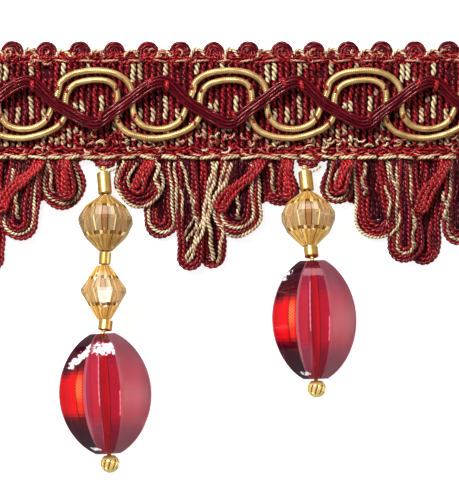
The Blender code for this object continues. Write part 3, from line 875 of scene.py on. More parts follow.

# %% [markdown]
# ## The loop fringe
#
# The fringe is made of bundles of twisted cord, each let down in a loop and caught up again in the heading, so
# long and short loops make scallops. The strands of a bundle touch and nest in each other, and neighbouring loops
# lie in two layers, over short loops at the back that fill the spaces between them. Each row below is one bundle,
# as in the solids, with the colour of each strand from the outside in: b is burgundy and c is cream. The hollow
# that is left inside is filled with strands, d, that lie lower and are coloured nearly black as painted shade.
# The rows in layer 2 are bright tufts, B, that hang aslant in front. Yarn never lies as evenly as a formula, so
# every strand sways a little to the side and up and down.

# %% Loops: root and half width, belly and half width, lowest point, layer and strands
Loop = namedtuple("Loop", "root root_half belly half low layer strands")
LOOPS = [Loop(*row) for row in (
    (-42.3, 1.1, -42.2, 1.25, 3.6, 1, "bc"), (-38.2, 2.5, -38.0, 3.3, 2.6, 0, "bcbb"),
    (-34.0, 1.9, -33.1, 2.35, -0.9, 1, "bbc"), (-31.2, 1.8, -31.2, 2.0, -2.2, 0, "bb"),
    (-26.2, 2.5, -27.2, 2.9, 2.2, 1, "bcbb"), (-21.2, 2.5, -21.0, 3.5, 6.7, 0, "bcbbb"),
    (-9.6, 2.5, -9.7, 3.6, 6.9, 1, "cbbb"), (-6.9, 1.9, -6.6, 2.65, 2.5, 0, "bcbb"),
    (-3.0, 1.6, -2.3, 2.05, -2.1, 1, "bb"), (0.5, 1.7, 0.9, 1.95, -1.8, 0, "bb"),
    (5.0, 2.5, 4.4, 3.6, 2.6, 1, "cbcb"), (9.7, 2.1, 10.7, 2.7, 7.1, 0, "bbbb"),
    (19.2, 1.9, 18.8, 2.4, 7.4, 1, "bcb"), (23.6, 2.5, 24.6, 3.3, 2.3, 0, "cbbb"),
    (28.4, 2.0, 28.7, 2.7, -1.0, 1, "bbcb"), (32.6, 1.9, 31.5, 2.3, -1.3, 0, "bbb"),
    (36.6, 1.9, 36.4, 2.6, 1.6, 1, "bcb"), (40.9, 1.6, 40.6, 2.5, 4.6, 0, "bbc"),
    (-24.1, 0.9, -29.6, 1.2, 6.2, 2, "BB"), (-20.6, 1.0, -20.3, 1.4, 7.9, 2, "BB"),
    (-8.2, 0.9, -10.1, 1.15, 8.8, 2, "BB"), (8.0, 0.9, 2.3, 1.2, 6.1, 2, "BB"),
    (11.5, 1.0, 11.6, 1.4, 7.9, 2, "BB"), (20.4, 0.9, 19.2, 1.15, 8.9, 2, "BB"),
    (34.8, 0.9, 31.0, 1.2, 5.9, 2, "BB"), (38.5, 0.9, 38.3, 1.3, 6.6, 2, "BB"),
)]
BACK_LOOPS = [
    Loop(x, 1.9, x + slant, 2.1, low, -1, "b")
    for x, slant, low in (
        (-40.4, 0.2, 7.4), (-36.0, 0.2, 6.6), (-32.4, 0.3, 5.0), (-28.8, -0.1, 5.4), (-24.0, -0.2, 7.8),
        (-11.2, -0.2, 8.6), (-8.0, 0.1, 7.6), (-4.9, 0.3, 5.2),
        (-1.2, 0.3, 4.0), (2.6, -0.1, 5.2), (7.4, 0.2, 7.4),
        (21.3, 0.1, 7.4), (26.2, 0.2, 5.8), (30.6, 0.0, 4.6), (34.6, -0.1, 5.2), (38.8, -0.2, 6.8),
    )
]
print("loops:", len(LOOPS), "and", len(BACK_LOOPS), "behind them")

# %% Strands by colour: width, step of the path, how much higher it lies, and how far apart it fills a hollow
Strand = namedtuple("Strand", "width step rise apart")
STRANDS = {
    "b": Strand(0.72, 0.18, 0.0, None),
    "c": Strand(0.58, 0.18, 0.2, None),
    # d is the filler in painted shade: near-black strands in the hollow of a bundle.
    "d": Strand(0.92, 0.30, -0.4, 0.5),
    "B": Strand(0.76, 0.18, 0.0, 0.62),
}
LAYER_LIFT = {-1: 0.0, 0: 0.3, 1: 1.1, 2: 1.85}
FRONT_LAYER = 2
SNUG = 0.84
OUTER_SPARE = 0.04
SMALLEST_LOOP = 0.06
ROOT_UP, ROOT_LIFT = 14.1, 1.35
ROOT_RISE, LEG_RISE = 0.3, 0.2
LEAST_ROOT = 0.2
LEG_SHARES = (0.25, 0.45, 0.7)
BELLY_STEPS = 8
SWAY_SIDE, SWAY_UP = 0.11, 0.13
CUT_END = HALF_LENGTH - 0.5


def strands_of(loop):
    """Each strand's colour and how far out it runs: the named ones, and then those that fill the bundle.

    Strands in painted shade fill it from below, all the way across. Bright ones fill only the hollow of a front
    tuft.
    """
    rows = []
    out = loop.half - OUTER_SPARE
    for colour in loop.strands:
        share = STRANDS[colour].width * SNUG
        rows.append((colour, out - share / 2))
        out -= share
    filler = "B"
    if loop.layer != FRONT_LAYER:
        filler = "d"
        out = loop.half - STRANDS["b"].width / 2
    apart = STRANDS[filler].apart
    while out > 0:
        rows.append((filler, max(out - apart / 2, SMALLEST_LOOP)))
        out -= apart
    return rows


# %% The course of one strand
def loop_strand(loop, colour, own, draw):
    """One strand of a loop: down a leg, round the belly and up the other leg."""
    strand = STRANDS[colour]
    centre = loop.low + loop.half
    root = loop.root + draw.uniform(-0.2, 0.2)
    root_half = max(LEAST_ROOT, loop.root_half * own / loop.half)
    belly = loop.belly + draw.uniform(-0.07, 0.07)
    lift = strand.width / 2 + LAYER_LIFT[loop.layer] + draw.uniform(0.0, 0.22) + strand.rise
    legs = []
    for side in (-1, 1):
        leg = [(root + side * root_half, ROOT_UP, min(lift + ROOT_RISE, ROOT_LIFT))]
        for share in LEG_SHARES:
            ease = share * share * (3 - 2 * share)
            middle = root + (belly - root) * ease
            half = root_half + (own - root_half) * ease
            up = ROOT_UP + (centre - ROOT_UP) * share
            leg.append((middle + side * half, up, lift + LEG_RISE * (1 - share)))
        legs.append(leg)
    turns = [math.pi * (1 + step / BELLY_STEPS) for step in range(BELLY_STEPS + 1)]
    round_belly = [(belly + own * math.cos(t), centre + own * math.sin(t), lift) for t in turns]
    path = smooth([*legs[0], *round_belly, *legs[1][::-1]], strand.step)
    length = strand.step * np.arange(len(path))
    sideways = waver(draw, length, SWAY_SIDE, draw.uniform(0.8, 1.3))
    upwards = waver(draw, length, SWAY_UP, draw.uniform(0.6, 1.2))
    return beside(path, sideways, upwards)


def settle(path, width):
    """Keeps a strand inside the trim's two cut ends and on the surface."""
    path[:, 0] = np.clip(path[:, 0], -CUT_END, CUT_END)
    path[:, 2] = np.maximum(path[:, 2], width / 2)
    return path


# %% Cords of the loops, whose cream comes and goes
SECOND_PLIES = (1.0, 1.0, 0.7, 0.3)


def broken_cream(path, draw):
    """How cream a thread is along its length: mostly all, with short stretches where burgundy is laid in."""
    along = np.linspace(0.0, 1.0, len(path))
    swing = waver(draw, along, 1.0, draw.uniform(14, 26)) + np.sin(along * draw.uniform(30, 50))
    return np.clip(1.25 + 0.75 * swing, 0.35, 1.0)


def plied(path, width, turn, creamy, draw):
    """A loop's cord along a path, whose second ply may hold less cream."""
    second = draw.choice(SECOND_PLIES)
    return cord(path, width, pitch=turn, phase=any_start(draw), cream=creamy, second=second)


def loop_cords():
    """The burgundy, cream, painted-shade and bright front cords of every loop."""
    draw = np.random.default_rng(23)
    made = {colour: [] for colour in STRANDS}
    for loop in LOOPS + BACK_LOOPS:
        for colour, own in strands_of(loop):
            width = STRANDS[colour].width
            path = settle(loop_strand(loop, colour, own, draw), width)
            turn = draw.uniform(1.25, 1.45) * width / STRANDS["b"].width
            creamy = broken_cream(path, draw) if colour == "c" else 0.0
            made[colour].append(plied(path, width, turn, creamy, draw))
    return made


# %% Free cream threads that cross the loops: points (along, up), by how much it is repeated, and width
Thread = namedtuple("Thread", "points shifts width")
NEXT_SCALLOP = 29.9
LAST_SCALLOP = -32.0
FREE_THREADS = [
    Thread([(1.16, 13.6), (0.9, 11.6), (0.25, 9.0), (-0.15, 6.1), (-1.16, 3.05), (-2.3, 0.4), (-3.1, -1.1)],
           (-0.26, 0.28, LAST_SCALLOP - 0.26, LAST_SCALLOP + 0.28), 0.62),
    Thread([(3.5, 13.4), (3.0, 11.3), (1.4, 8.8), (0.45, 6.6), (0.25, 4.8), (0.6, 2.4), (0.85, -0.6)],
           (0.0,), 0.72),
    Thread([(-3.7, 13.6), (-3.3, 12.2), (-2.8, 10.6), (-2.3, 8.4), (-2.4, 7.2)], (0.0, NEXT_SCALLOP), 0.5),
    Thread([(-4.1, 10.2), (-3.6, 8.4), (-3.5, 6.4), (-3.9, 4.6)], (0.0, NEXT_SCALLOP), 0.46),
    Thread([(-1.9, 6.2), (-2.2, 4.9), (-2.9, 3.5), (-3.7, 2.3)], (0.0, NEXT_SCALLOP), 0.42),
    Thread([(-10.2, 13.5), (-10.9, 12.3), (-11.3, 10.8), (-11.1, 9.4)], (0.0, NEXT_SCALLOP), 0.52),
    Thread([(-7.0, 13.4), (-7.2, 12.0), (-7.4, 10.9), (-6.9, 9.6), (-7.3, 9.0)], (0.0, NEXT_SCALLOP), 0.6),
    Thread([(4.5, 9.2), (4.2, 8.2), (4.7, 7.1), (4.5, 5.9), (4.9, 5.2)], (0.0, LAST_SCALLOP, NEXT_SCALLOP), 0.6),
    Thread([(9.2, 13.3), (9.4, 11.8), (9.5, 10.4), (9.8, 9.2)], (0.0, LAST_SCALLOP, NEXT_SCALLOP), 0.55),
    Thread([(2.3, 4.6), (2.1, 2.6), (1.9, 0.6), (1.5, -0.9)], (0.0,), 0.56),
    Thread([(-1.9, 9.0), (-2.0, 7.2), (-1.5, 5.2), (-2.0, 3.4), (-3.4, 1.6)], (0.0, LAST_SCALLOP), 0.60),
    Thread([(-8.9, 13.3), (-9.3, 12.4), (-9.4, 11.0), (-9.1, 10.2)], (0.0, NEXT_SCALLOP), 0.5),
    Thread([(-4.6, 13.5), (-4.7, 11.6), (-4.3, 9.8), (-4.5, 7.6), (-4.2, 5.9)], (0.0,), 0.5),
    Thread([(-35.5, 13.4), (-35.9, 11.2), (-35.2, 8.9), (-35.6, 6.4), (-34.9, 3.9)], (0.0,), 0.6),
    Thread([(29.6, 6.6), (30.1, 4.4), (29.7, 2.4), (30.4, 0.6)], (0.0,), 0.5),
]


FREE_START, FREE_MIDDLE, FREE_END = 1.7, 2.2, 1.2
FREE_STEP = 0.18


def free_threads():
    """Cream threads that come out under the heading, lie over the loops and dip between them."""
    draw = np.random.default_rng(29)
    made = []
    for thread in FREE_THREADS:
        lifts = [FREE_START] + [FREE_MIDDLE] * (len(thread.points) - 2) + [FREE_END]
        for shift in thread.shifts:
            corners = [(x + shift, y, z + draw.uniform(-0.1, 0.1)) for (x, y), z in zip(thread.points, lifts)]
            path = smooth(corners, FREE_STEP)
            sideways = waver(draw, FREE_STEP * np.arange(len(path)), 0.12, 1.7)
            path = settle(beside(path, sideways), thread.width)
            made.append(plied(path, thread.width, 1.25, broken_cream(path, draw), draw))
    return made


cords_by_colour = loop_cords()
for name, colour, finish, slot, sides in (
    ("burgundy_loops", "b", BURGUNDY, "burgundy_yarn", 8),
    ("cream_loops", "c", TWO_TONE, "gold_yarn", 8),
    ("painted_shade_loops", "d", PAINTED_SHADE_BURGUNDY, "burgundy_yarn", 6),
    ("front_loops", "B", BRIGHT_BURGUNDY, "burgundy_yarn", 8),
):
    place_piece(cord_mesh(name, cords_by_colour[colour], finish, sides=sides, sink=0.42), slot, "loop_fringe")
place_piece(cord_mesh("free_threads", free_threads(), TWO_TONE, sides=10, sink=0.5), "gold_yarn", "loop_fringe")

# %% [markdown]
# ## Where the drops hang
#
# Each drop hangs from a small hank of thread under the heading: a few burgundy turns laid across, and one cream
# turn that sags below them.

# %% Hanks above the drops: each turn's half width, how high it starts, its sag and its lift
HANK_MIDDLES = (-14.75, 14.65)
Turn = namedtuple("Turn", "half up sag lift")
HANK_TURNS = [Turn(1.7, 14.2, 0.35, 1.35), Turn(1.55, 13.7, 0.4, 1.3), Turn(1.3, 13.3, 0.45, 1.2)]
CREAM_TURN = Turn(1.45, 13.0, 0.75, 1.35)
CREAM_TURN_ASIDE = 0.35
TURN_CROWN = 0.45


def turn_across(middle, turn):
    """One turn of thread that lies across the drop and sags in its middle."""
    corners = []
    for share in (-1.0, -0.55, 0.0, 0.55, 1.0):
        arched = 1 - share * share
        corners.append((middle + turn.half * share, turn.up - turn.sag * arched, turn.lift + TURN_CROWN * arched))
    return smooth(corners, 0.14)


burgundy_turns = []
cream_turns = []
for middle in HANK_MIDDLES:
    for turn in HANK_TURNS:
        burgundy_turns.append(cord(turn_across(middle, turn), 0.62, pitch=1.3, phase=7 * turn.half))
    cream_turns.append(cord(turn_across(middle + CREAM_TURN_ASIDE, CREAM_TURN), 0.42, pitch=1.1, cream=1.0))
place_piece(cord_mesh("hank_turns", burgundy_turns, BURGUNDY, sink=0.36), "burgundy_yarn")
place_piece(cord_mesh("hank_cream_turns", cream_turns, CREAM, sink=0.36), "gold_yarn")

# %% [markdown]
# ## Beads
#
# Each bead is a turned or cut body with a bore, strung on a gold thread. The solids give its two ends and its
# radius. A cut bead is a profile carried round in flat panels. Between two panels runs a narrow bevel, as
# polishing leaves it. The thin bright lines of the ruby are painted highlights on narrow faces of its front panel.
# A cut bead also shows each facet in a tone of its own, because every facet looks through the bead in another
# direction. That could be left to the light alone, but so small a bead would need far more facets than a maker
# cuts. So each face has a shade drawn by a rule for its panel: its colour, with painted reflection, highlight and
# shade in it, how milky it is, and a glow, painted light from the far side.

# %% Where a face lies on its bead: share down its length, panel, place across the panel, and its ring
Facet = namedtuple("Facet", "down panel across ring")
# A face's shade: its colour, with painted light and shade in it, how milky it is, and a glow of painted light.
Shade = namedtuple("Shade", "colour milky glow", defaults=(0.0, 0.0))
BORE_TOP, BORE_SIDE = -2, -1
FLUTES = 10
FLUTE_LEAN = 7.0
SHARPEST_SMOOTHED = 17.0


# %% A bead from a profile
def bead(name, outline, start, end, sides, finish, bore=0.64, cuts=(-0.5,), blind=0.0, swirl=0.0, shade=None,
         gleam=None):
    """A closed bead with outline (share of length, radius) from start to end, in this many panels.

    The cuts divide each panel across, from -0.5 to 0.5. A blind depth closes the lower end under a bore of that
    depth. A swirl sinks slanting flutes into the bead. The shade rule paints each face with its light and shade,
    and the gleam rule says how far each point lies in a painted glint and in a hatched patch of painted light.
    """
    start = np.array(start)
    end = np.array(end)
    length = np.linalg.norm(end - start)
    ahead = (end - start) / length
    side = np.cross(ahead, UP)
    side /= np.linalg.norm(side)
    out = np.cross(side, ahead)
    panel = 2 * math.pi / sides
    places = [(place, share) for place in range(sides) for share in cuts]
    turns = np.array([panel * (place + share) for place, share in places]) + math.pi / 2
    reaches = np.array([math.cos(panel / 2) / math.cos(panel * share) for place, share in places])
    rings = [(blind or length, bore + 0 * reaches), (0.0, bore + 0 * reaches)]
    for share, radius in outline:
        groove = (0.5 + 0.5 * np.cos(FLUTES * turns + FLUTE_LEAN * share)) ** 2
        flutes = 1 - swirl * groove * math.sin(math.pi * share) ** 2
        rings.append((share * length, radius * reaches * flutes))
    points = []
    for down, radii in rings:
        spokes = side * (radii * np.cos(turns))[:, None] + out * (radii * np.sin(turns))[:, None]
        points.append(start + ahead * down + spokes)
    count = len(turns)
    faces, facets = [], []
    for ring in range(len(rings) - (1 if blind else 0)):
        here, below = ring * count, (ring + 1) % len(rings) * count
        down = (rings[ring][0] + rings[(ring + 1) % len(rings)][0]) / 2 / length
        for place, (own_panel, share) in enumerate(places):
            after = (place + 1) % count
            faces.append((here + place, below + place, below + after, here + after))
            facets.append(Facet(down, own_panel, share, ring - 2))
    if blind:
        last = (len(rings) - 1) * count
        faces += [tuple(range(count)), tuple(range(last + count - 1, last - 1, -1))]
        facets += [Facet(0.5, 0, 0.0, BORE_TOP), Facet(1.0, 0, 0.0, len(rings))]
    mesh = finished_mesh(name, points, faces, finish)
    if shade:
        shades = [shade(facet) for facet in facets]
        note(mesh, "tint", "FLOAT_COLOR", "FACE", [(*one.colour, one.milky) for one in shades])
        note(mesh, "glow", "FLOAT", "FACE", [one.glow for one in shades])
    if gleam:
        arounds = [place + share - (sides if place > sides / 2 else 0) for place, share in places]
        gleams = [gleam(down / length, around) for down, radii in rings for around in arounds]
        note(mesh, "gleam", "FLOAT_VECTOR", "POINT", gleams)
    mesh.set_sharp_from_angle(angle=math.radians(SHARPEST_SMOOTHED))
    return add(name, mesh)


# %% [markdown]
# ## Finishes of the beads
#
# The gold beads are plated metal with fine scratches. A cut crystal or ruby bead shows in each facet what lies
# behind it, so its finish takes the tint and the glow that each face carries, and lets some light through. Over
# them come white glints with lumpy edges, where a lamp shows in the cut, and on the rubies a patch of fine orange
# lines, where light comes out after crossing the bead. Clear glass and lamps alone could make all of this, but
# painted they stand where the photo has them.


# %% Plated gold
GOLD_TONES = ((0.66, 0.38, 0.07), (0.94, 0.66, 0.22))
SCRATCHES = (6000.0, 900.0, 6000.0)
GOLD_CLOUDS = 700.0


def gold_finish():
    """Warm gold in soft clouds, with fine scratches across the bead."""
    gold = Finish("gold_plated_bead", {"Metallic": 0.85})
    place = gold.place()
    scratch = gold.noise(place, SCRATCHES)
    return gold.wear({
        "Base Color": gold.mix(gold.noise(place, GOLD_CLOUDS), *GOLD_TONES),
        "Roughness": scratch * 0.2 + 0.22,
        "Normal": gold.bump(scratch, 0.25, 0.02),
    })


# %% Crystal, ruby and swirled gold: painted tints of each face, painted lumpy glints, and the hatched patch
GLINT_WHITE = (1.0, 0.95, 0.96)
GLINT_LUMPS = 1900.0
LUMP_SHARE, GLINT_START, GLINT_EDGE = 1.5, 1.25, 6.0
HATCH_ORANGE = (1.0, 0.42, 0.12)
HATCH_PITCH = 0.42
HATCH_SLANT = 0.8
FLOW_GRAINS = (420.0, 160.0, 420.0)
FINE_GRAINS = 2500.0


def tinted_finish(name, constants, polish, milkiness, depth):
    """A surface in painted tints by face, a little deeper in places, with painted glints, glow and hatching."""
    clear = Finish(name, {"Emission Strength": 1.0, **constants})
    place = clear.place()
    tint = clear.attribute("tint", out="Color")
    milky = clear.attribute("tint", out="Alpha")
    glow = clear.attribute("glow", out="Fac")
    gleam = clear.attribute("gleam")
    # Painted highlight: a white glint with lumpy edges where the first part of the gleam attribute is high.
    lumps = clear.noise(place, GLINT_LUMPS)
    glint = ((clear.part(gleam, "X") + lumps * LUMP_SHARE - GLINT_START) * GLINT_EDGE).held()
    # Painted light: slanting orange lines where the second part of the gleam attribute is high.
    across_lines = clear.part(place, "Y") + clear.part(place, "X") * HATCH_SLANT
    lines = (across_lines * (2 * math.pi / (HATCH_PITCH * MM))).sine()
    hatch = (lines * 0.6 + 0.4) * clear.part(gleam, "Y")
    flow = clear.noise(place, FLOW_GRAINS)
    fine = clear.noise(place, FINE_GRAINS)
    toned = clear.mix(flow * 1.6 - 0.4, tint, clear.times(tint, depth))
    shown = clear.mix(glint, clear.mix(hatch, toned, HATCH_ORANGE), GLINT_WHITE)
    # The glow attribute and the painted glints give out emission as painted light.
    return clear.wear({
        "Base Color": shown,
        "Roughness": fine * 0.03 + milky * milkiness + polish,
        "Emission Color": clear.mix(glow + glint * 0.5, (0.0, 0.0, 0.0), shown),
    })


GLASS = {"Transmission Weight": 0.6, "IOR": 1.5}
ACRYLIC = {"Transmission Weight": 0.6, "IOR": 1.45}
GOLD = gold_finish()
SWIRLED_GOLD = tinted_finish("swirled_gold_bead", {"Metallic": 0.5}, 0.15, 0.2, depth=(0.9, 0.85, 0.7))
CRYSTAL = tinted_finish("champagne_crystal", GLASS, 0.0, 0.35, depth=(0.72, 0.6, 0.42))
RUBY = tinted_finish("ruby_acrylic", ACRYLIC, 0.0, 0.35, depth=(0.75, 0.6, 0.65))

# %% Profiles of the beads, as shares of the length and radii
TUBE_LIP = 0.12
RUBY_END = 1.9
RUBY_POINTEDNESS = 1.18


def tube_profile(radius):
    return [(0.0, radius - TUBE_LIP), (0.03, radius), (0.97, radius), (1.0, radius - TUBE_LIP)]


def oval_profile(radius, end_radius, steps):
    """A slightly pointed ellipse, cut off square where it reaches end_radius."""
    reach = math.acos((end_radius / radius) ** (1 / RUBY_POINTEDNESS))
    turns = [-reach + 2 * reach * step / steps for step in range(steps + 1)]
    return [(0.5 + 0.5 * math.sin(t) / math.sin(reach), radius * math.cos(t) ** RUBY_POINTEDNESS) for t in turns]


def ball_profile(radius, rim, steps):
    """A ball, cut off square at its top where its radius is rim, and all but whole at its bottom."""
    reach = math.acos(rim / radius)
    turns = [reach - (reach + math.pi / 2 - 0.06) * step / steps for step in range(steps + 1)]
    return [((math.sin(reach) - math.sin(t)) / (math.sin(reach) + 1), radius * math.cos(t)) for t in turns]


def bicone_profile(radius, waist, shoulder, neck):
    """Crowns above and below, broad panels between the shoulders, and a small bevel at each edge."""
    over, under = waist / 2, (1 + waist) / 2
    return [
        (0.0, radius * neck * 0.85), (0.02, radius * neck),
        (over - 0.03, radius * shoulder * 0.93), (over + 0.03, radius * shoulder * 1.04),
        (waist - 0.03, radius), (waist + 0.03, radius),
        (under - 0.03, radius * shoulder * 1.04), (under + 0.03, radius * shoulder * 0.93),
        (0.98, radius * neck), (1.0, radius * neck * 0.85),
    ]


# %% Shares and blends for the rules below
def between(value, low, high, soft=0.025):
    """1 between low and high, 0 outside, with soft ends."""
    return min(1.0, max(0.0, (value - low) / soft + 0.5)) * min(1.0, max(0.0, (high - value) / soft + 0.5))


def blended(first, second, share):
    return tuple(a + (b - a) * share for a, b in zip(first, second))


# %% The shade of each face of a crystal: painted reflection, highlight and shade over its champagne
# The crystal's champagne, changed from face to face as painted reflection and refraction.
CROWN_TINTS = [(0.72, 0.41, 0.07), (0.88, 0.58, 0.15), (0.55, 0.31, 0.06), (0.96, 0.72, 0.28), (0.64, 0.42, 0.12)]
WAIST_TINTS = [(0.47, 0.34, 0.18), (0.61, 0.45, 0.25), (0.38, 0.28, 0.16), (0.73, 0.56, 0.33), (0.53, 0.36, 0.17)]
# Painted highlights and painted shade, in small flecks along the edges of the cut.
EDGE_LIGHT_AND_SHADE = [
    Shade((0.10, 0.05, 0.008)), Shade((1.0, 0.88, 0.50), 0.0, 0.35), Shade((0.40, 0.22, 0.04)),
    Shade((0.80, 0.52, 0.14), 0.0, 0.05), Shade((0.22, 0.11, 0.015)), Shade((0.98, 0.78, 0.34), 0.0, 0.2),
    Shade((0.60, 0.38, 0.10)),
]
CORE_TINT = (0.66, 0.30, 0.06)
# Painted shade: dark bars down the front and back panels of the waist.
DARK_BAR_SHADE = (0.10, 0.04, 0.015)
# Painted reflection: a white patch on the front of the small bicone's waist.
WHITE_REFLECTION = (1.0, 0.97, 0.92)
CROWN_RINGS = (0, 1, 7, 8)
EDGE_RINGS = (2, 6)
REFLECTION_RINGS = (4, 5)
CRYSTAL_CUTS = (-0.47, -0.30, -0.17, -0.12, 0.12, 0.17, 0.30, 0.47)
BAR_CUTS = (-0.17, 0.12)
CORE_CUT = -0.12


def crystal_shade(light, white_reflection=False):
    """A rule: golden crowns and beige waist in painted reflection, a brown core, and painted highlight and shade.
    """

    def shade(facet):
        if facet.ring in (BORE_TOP, BORE_SIDE):
            return Shade(CORE_TINT)
        pick = 5 * facet.panel + 3 * facet.ring + 4 * CRYSTAL_CUTS.index(facet.across)
        if facet.ring in EDGE_RINGS or facet.across == CRYSTAL_CUTS[-1]:
            return EDGE_LIGHT_AND_SHADE[pick % len(EDGE_LIGHT_AND_SHADE)]
        if white_reflection and facet.panel == 0 and facet.ring in REFLECTION_RINGS and abs(facet.across + 0.02) < 0.35:
            return Shade(WHITE_REFLECTION, 0.3, 0.7 if pick % 4 else 0.2)
        if facet.across in BAR_CUTS and facet.ring not in CROWN_RINGS and facet.panel in (0, 4):
            return Shade(DARK_BAR_SHADE)
        if facet.across == CORE_CUT and facet.ring not in CROWN_RINGS:
            return Shade(blended(CORE_TINT, WAIST_TINTS[pick % len(WAIST_TINTS)], 0.4), 0.1, light)
        if facet.ring in CROWN_RINGS:
            return Shade(CROWN_TINTS[pick % len(CROWN_TINTS)], 0.0, light if pick % 7 else 3 * light + 0.15)
        return Shade(WAIST_TINTS[pick % len(WAIST_TINTS)], 0.25, light)

    return shade


def crystal_gleam(strength):
    """A rule: small painted glints on the shoulders, in front on the lower and at the left of the upper one."""

    def gleam(down, around):
        lower = between(down, 0.68, 0.78) * between(around, -0.35, 0.32, 0.02)
        upper = between(down, 0.18, 0.28) * between(around, -0.80, -0.45, 0.02)
        return strength * max(lower, upper), 0.0, 0.0

    return gleam


# %% The shade of each face of a ruby: its own reds, with painted reflection, highlight and shade
# Painted: maroon and dark red as shade, the patch colours as light, mauve as reflection, pink as highlight.
CORE_RED = (0.60, 0.004, 0.018)
ROSE_RED = (0.45, 0.024, 0.070)
CRIMSON = (0.40, 0.010, 0.042)
SHADE_DARK_RED = (0.20, 0.002, 0.010)
SHADE_MAROON = (0.045, 0.003, 0.014)
LIT_PATCH_RED = (0.78, 0.003, 0.008)
LIT_PATCH_ORANGE = (0.92, 0.05, 0.010)
MAUVE_REFLECTION = (0.54, 0.16, 0.21)
DEEP_MAUVE_REFLECTION = (0.40, 0.115, 0.16)
GLINT_PINK = (0.90, 0.30, 0.38)
RUBY_CUTS = (-0.47, -0.15, -0.12, -0.09, -0.06, 0.14, 0.18, 0.38, 0.41, 0.44)
SHADED_PANELS = (7, 2, 4)
MILKY_REFLECTING_PANELS = (1, 5)


def deep_shade(facet):
    """Painted shade in maroon with a painted patch of light: red, a dark gap, and orange near the next panel."""
    lit = between(facet.down, 0.31 + 0.06 * max(0.0, -facet.across), 0.66 - 0.05 * max(0.0, facet.across), 0.07)
    patch = {0.14: SHADE_DARK_RED, 0.18: LIT_PATCH_ORANGE}.get(facet.across, LIT_PATCH_RED)
    return Shade(blended(SHADE_MAROON, patch, lit), 0.0, 0.16 * lit)


def clear_shade(facet):
    """Rose, a pink highlight, the red core between two dark lines, crimson, a last highlight, all painted in."""
    # The rose turns pinker lower down, as a painted reflection.
    rose = Shade(blended(ROSE_RED, GLINT_PINK, 0.22 * between(facet.down, 0.72, 0.94, 0.1)), 0.1, 0.04)
    beaded = Shade(GLINT_PINK, 0.1, 0.30 if facet.ring % 2 else 0.08) if 0.18 < facet.down < 0.58 else rose
    crimson = Shade(CRIMSON, 0.05)
    core = Shade(CORE_RED, 0.0, 0.07 if 0.40 < facet.down < 0.56 else 0.03)
    last = Shade(GLINT_PINK, 0.1, 0.30 if facet.ring % 2 else 0.10) if 0.48 < facet.down < 0.68 else crimson
    dark = Shade(SHADE_DARK_RED)
    shown = (rose, beaded, rose, dark, core, dark, crimson, crimson, last)[RUBY_CUTS.index(facet.across)]
    # Painted shade: faces near the top end darken towards maroon and lose their glow.
    shaded_top = between(facet.down, -1.0, 0.06, 0.03)
    return shown._replace(colour=blended(shown.colour, SHADE_MAROON, 0.7 * shaded_top), glow=shown.glow * (1 - shaded_top))


def ruby_shade(facet):
    """Panels by turns: clear with a red core, milky in painted reflection, and in painted shade with a lit patch.
    """
    if facet.ring in (BORE_TOP, BORE_SIDE):
        return Shade(CORE_RED)
    if facet.panel in MILKY_REFLECTING_PANELS or facet.across == RUBY_CUTS[-1]:
        return Shade(blended(DEEP_MAUVE_REFLECTION, MAUVE_REFLECTION, between(facet.down, 0.35, 0.85, 0.4)), 1.0, 0.03)
    if facet.panel in SHADED_PANELS:
        return deep_shade(facet)
    return clear_shade(facet)


# %% The painted glints of a ruby: places down are shares of its length, and places around are counted in panels
GLINT_DOWN, GLINT_HALF, GLINT_STRENGTH = 0.122, 0.052, 0.8
LEFT_BEVEL, BEVEL_SHARE = -0.5, 0.4


def ruby_gleam(first, last, trail):
    """A rule: a painted glint under the top from first to last around, which may trail down to the left, one at
    the lower rim, and the hatched patch of painted light."""

    def gleam(down, around):
        middle = GLINT_DOWN + trail * max(0.0, LEFT_BEVEL - around)
        broad = max(0.0, min(GLINT_STRENGTH, 1.5 - abs(down - middle) / GLINT_HALF))
        broad *= between(around, first, last, 0.08)
        broad *= BEVEL_SHARE if abs(around - LEFT_BEVEL) < 0.05 else 1.0
        rim = GLINT_STRENGTH * between(down, 0.93, 0.97, 0.02) * between(around, -1.1, -0.3, 0.2)
        hatched = between(down, 0.36, 0.52, 0.08) * between(around, -0.835, -0.605, 0.02)
        return max(broad, rim), hatched, 0.0

    return gleam


# %% The shade of each face of a swirled end bead: painted shade in its flutes, and a faint painted glow
SWIRL_STEPS = 56
LAND_GOLD = (1.0, 0.73, 0.26)
FLUTE_SHADE_BROWN = (0.20, 0.08, 0.01)


def swirl_shade(facet):
    """Painted shade in brown in the bottom of each slanting flute, and pale gold with a faint painted glow between.
    """
    turn = 2 * math.pi * facet.panel / SWIRL_STEPS + math.pi / 2
    groove = between(math.cos(FLUTES * turn + FLUTE_LEAN * facet.down), 0.6, 2.0, 0.3)
    groove *= between(facet.down, 0.2, 0.8)
    return Shade(blended(LAND_GOLD, FLUTE_SHADE_BROWN, groove), 0.0, 0.06 * (1 - groove))


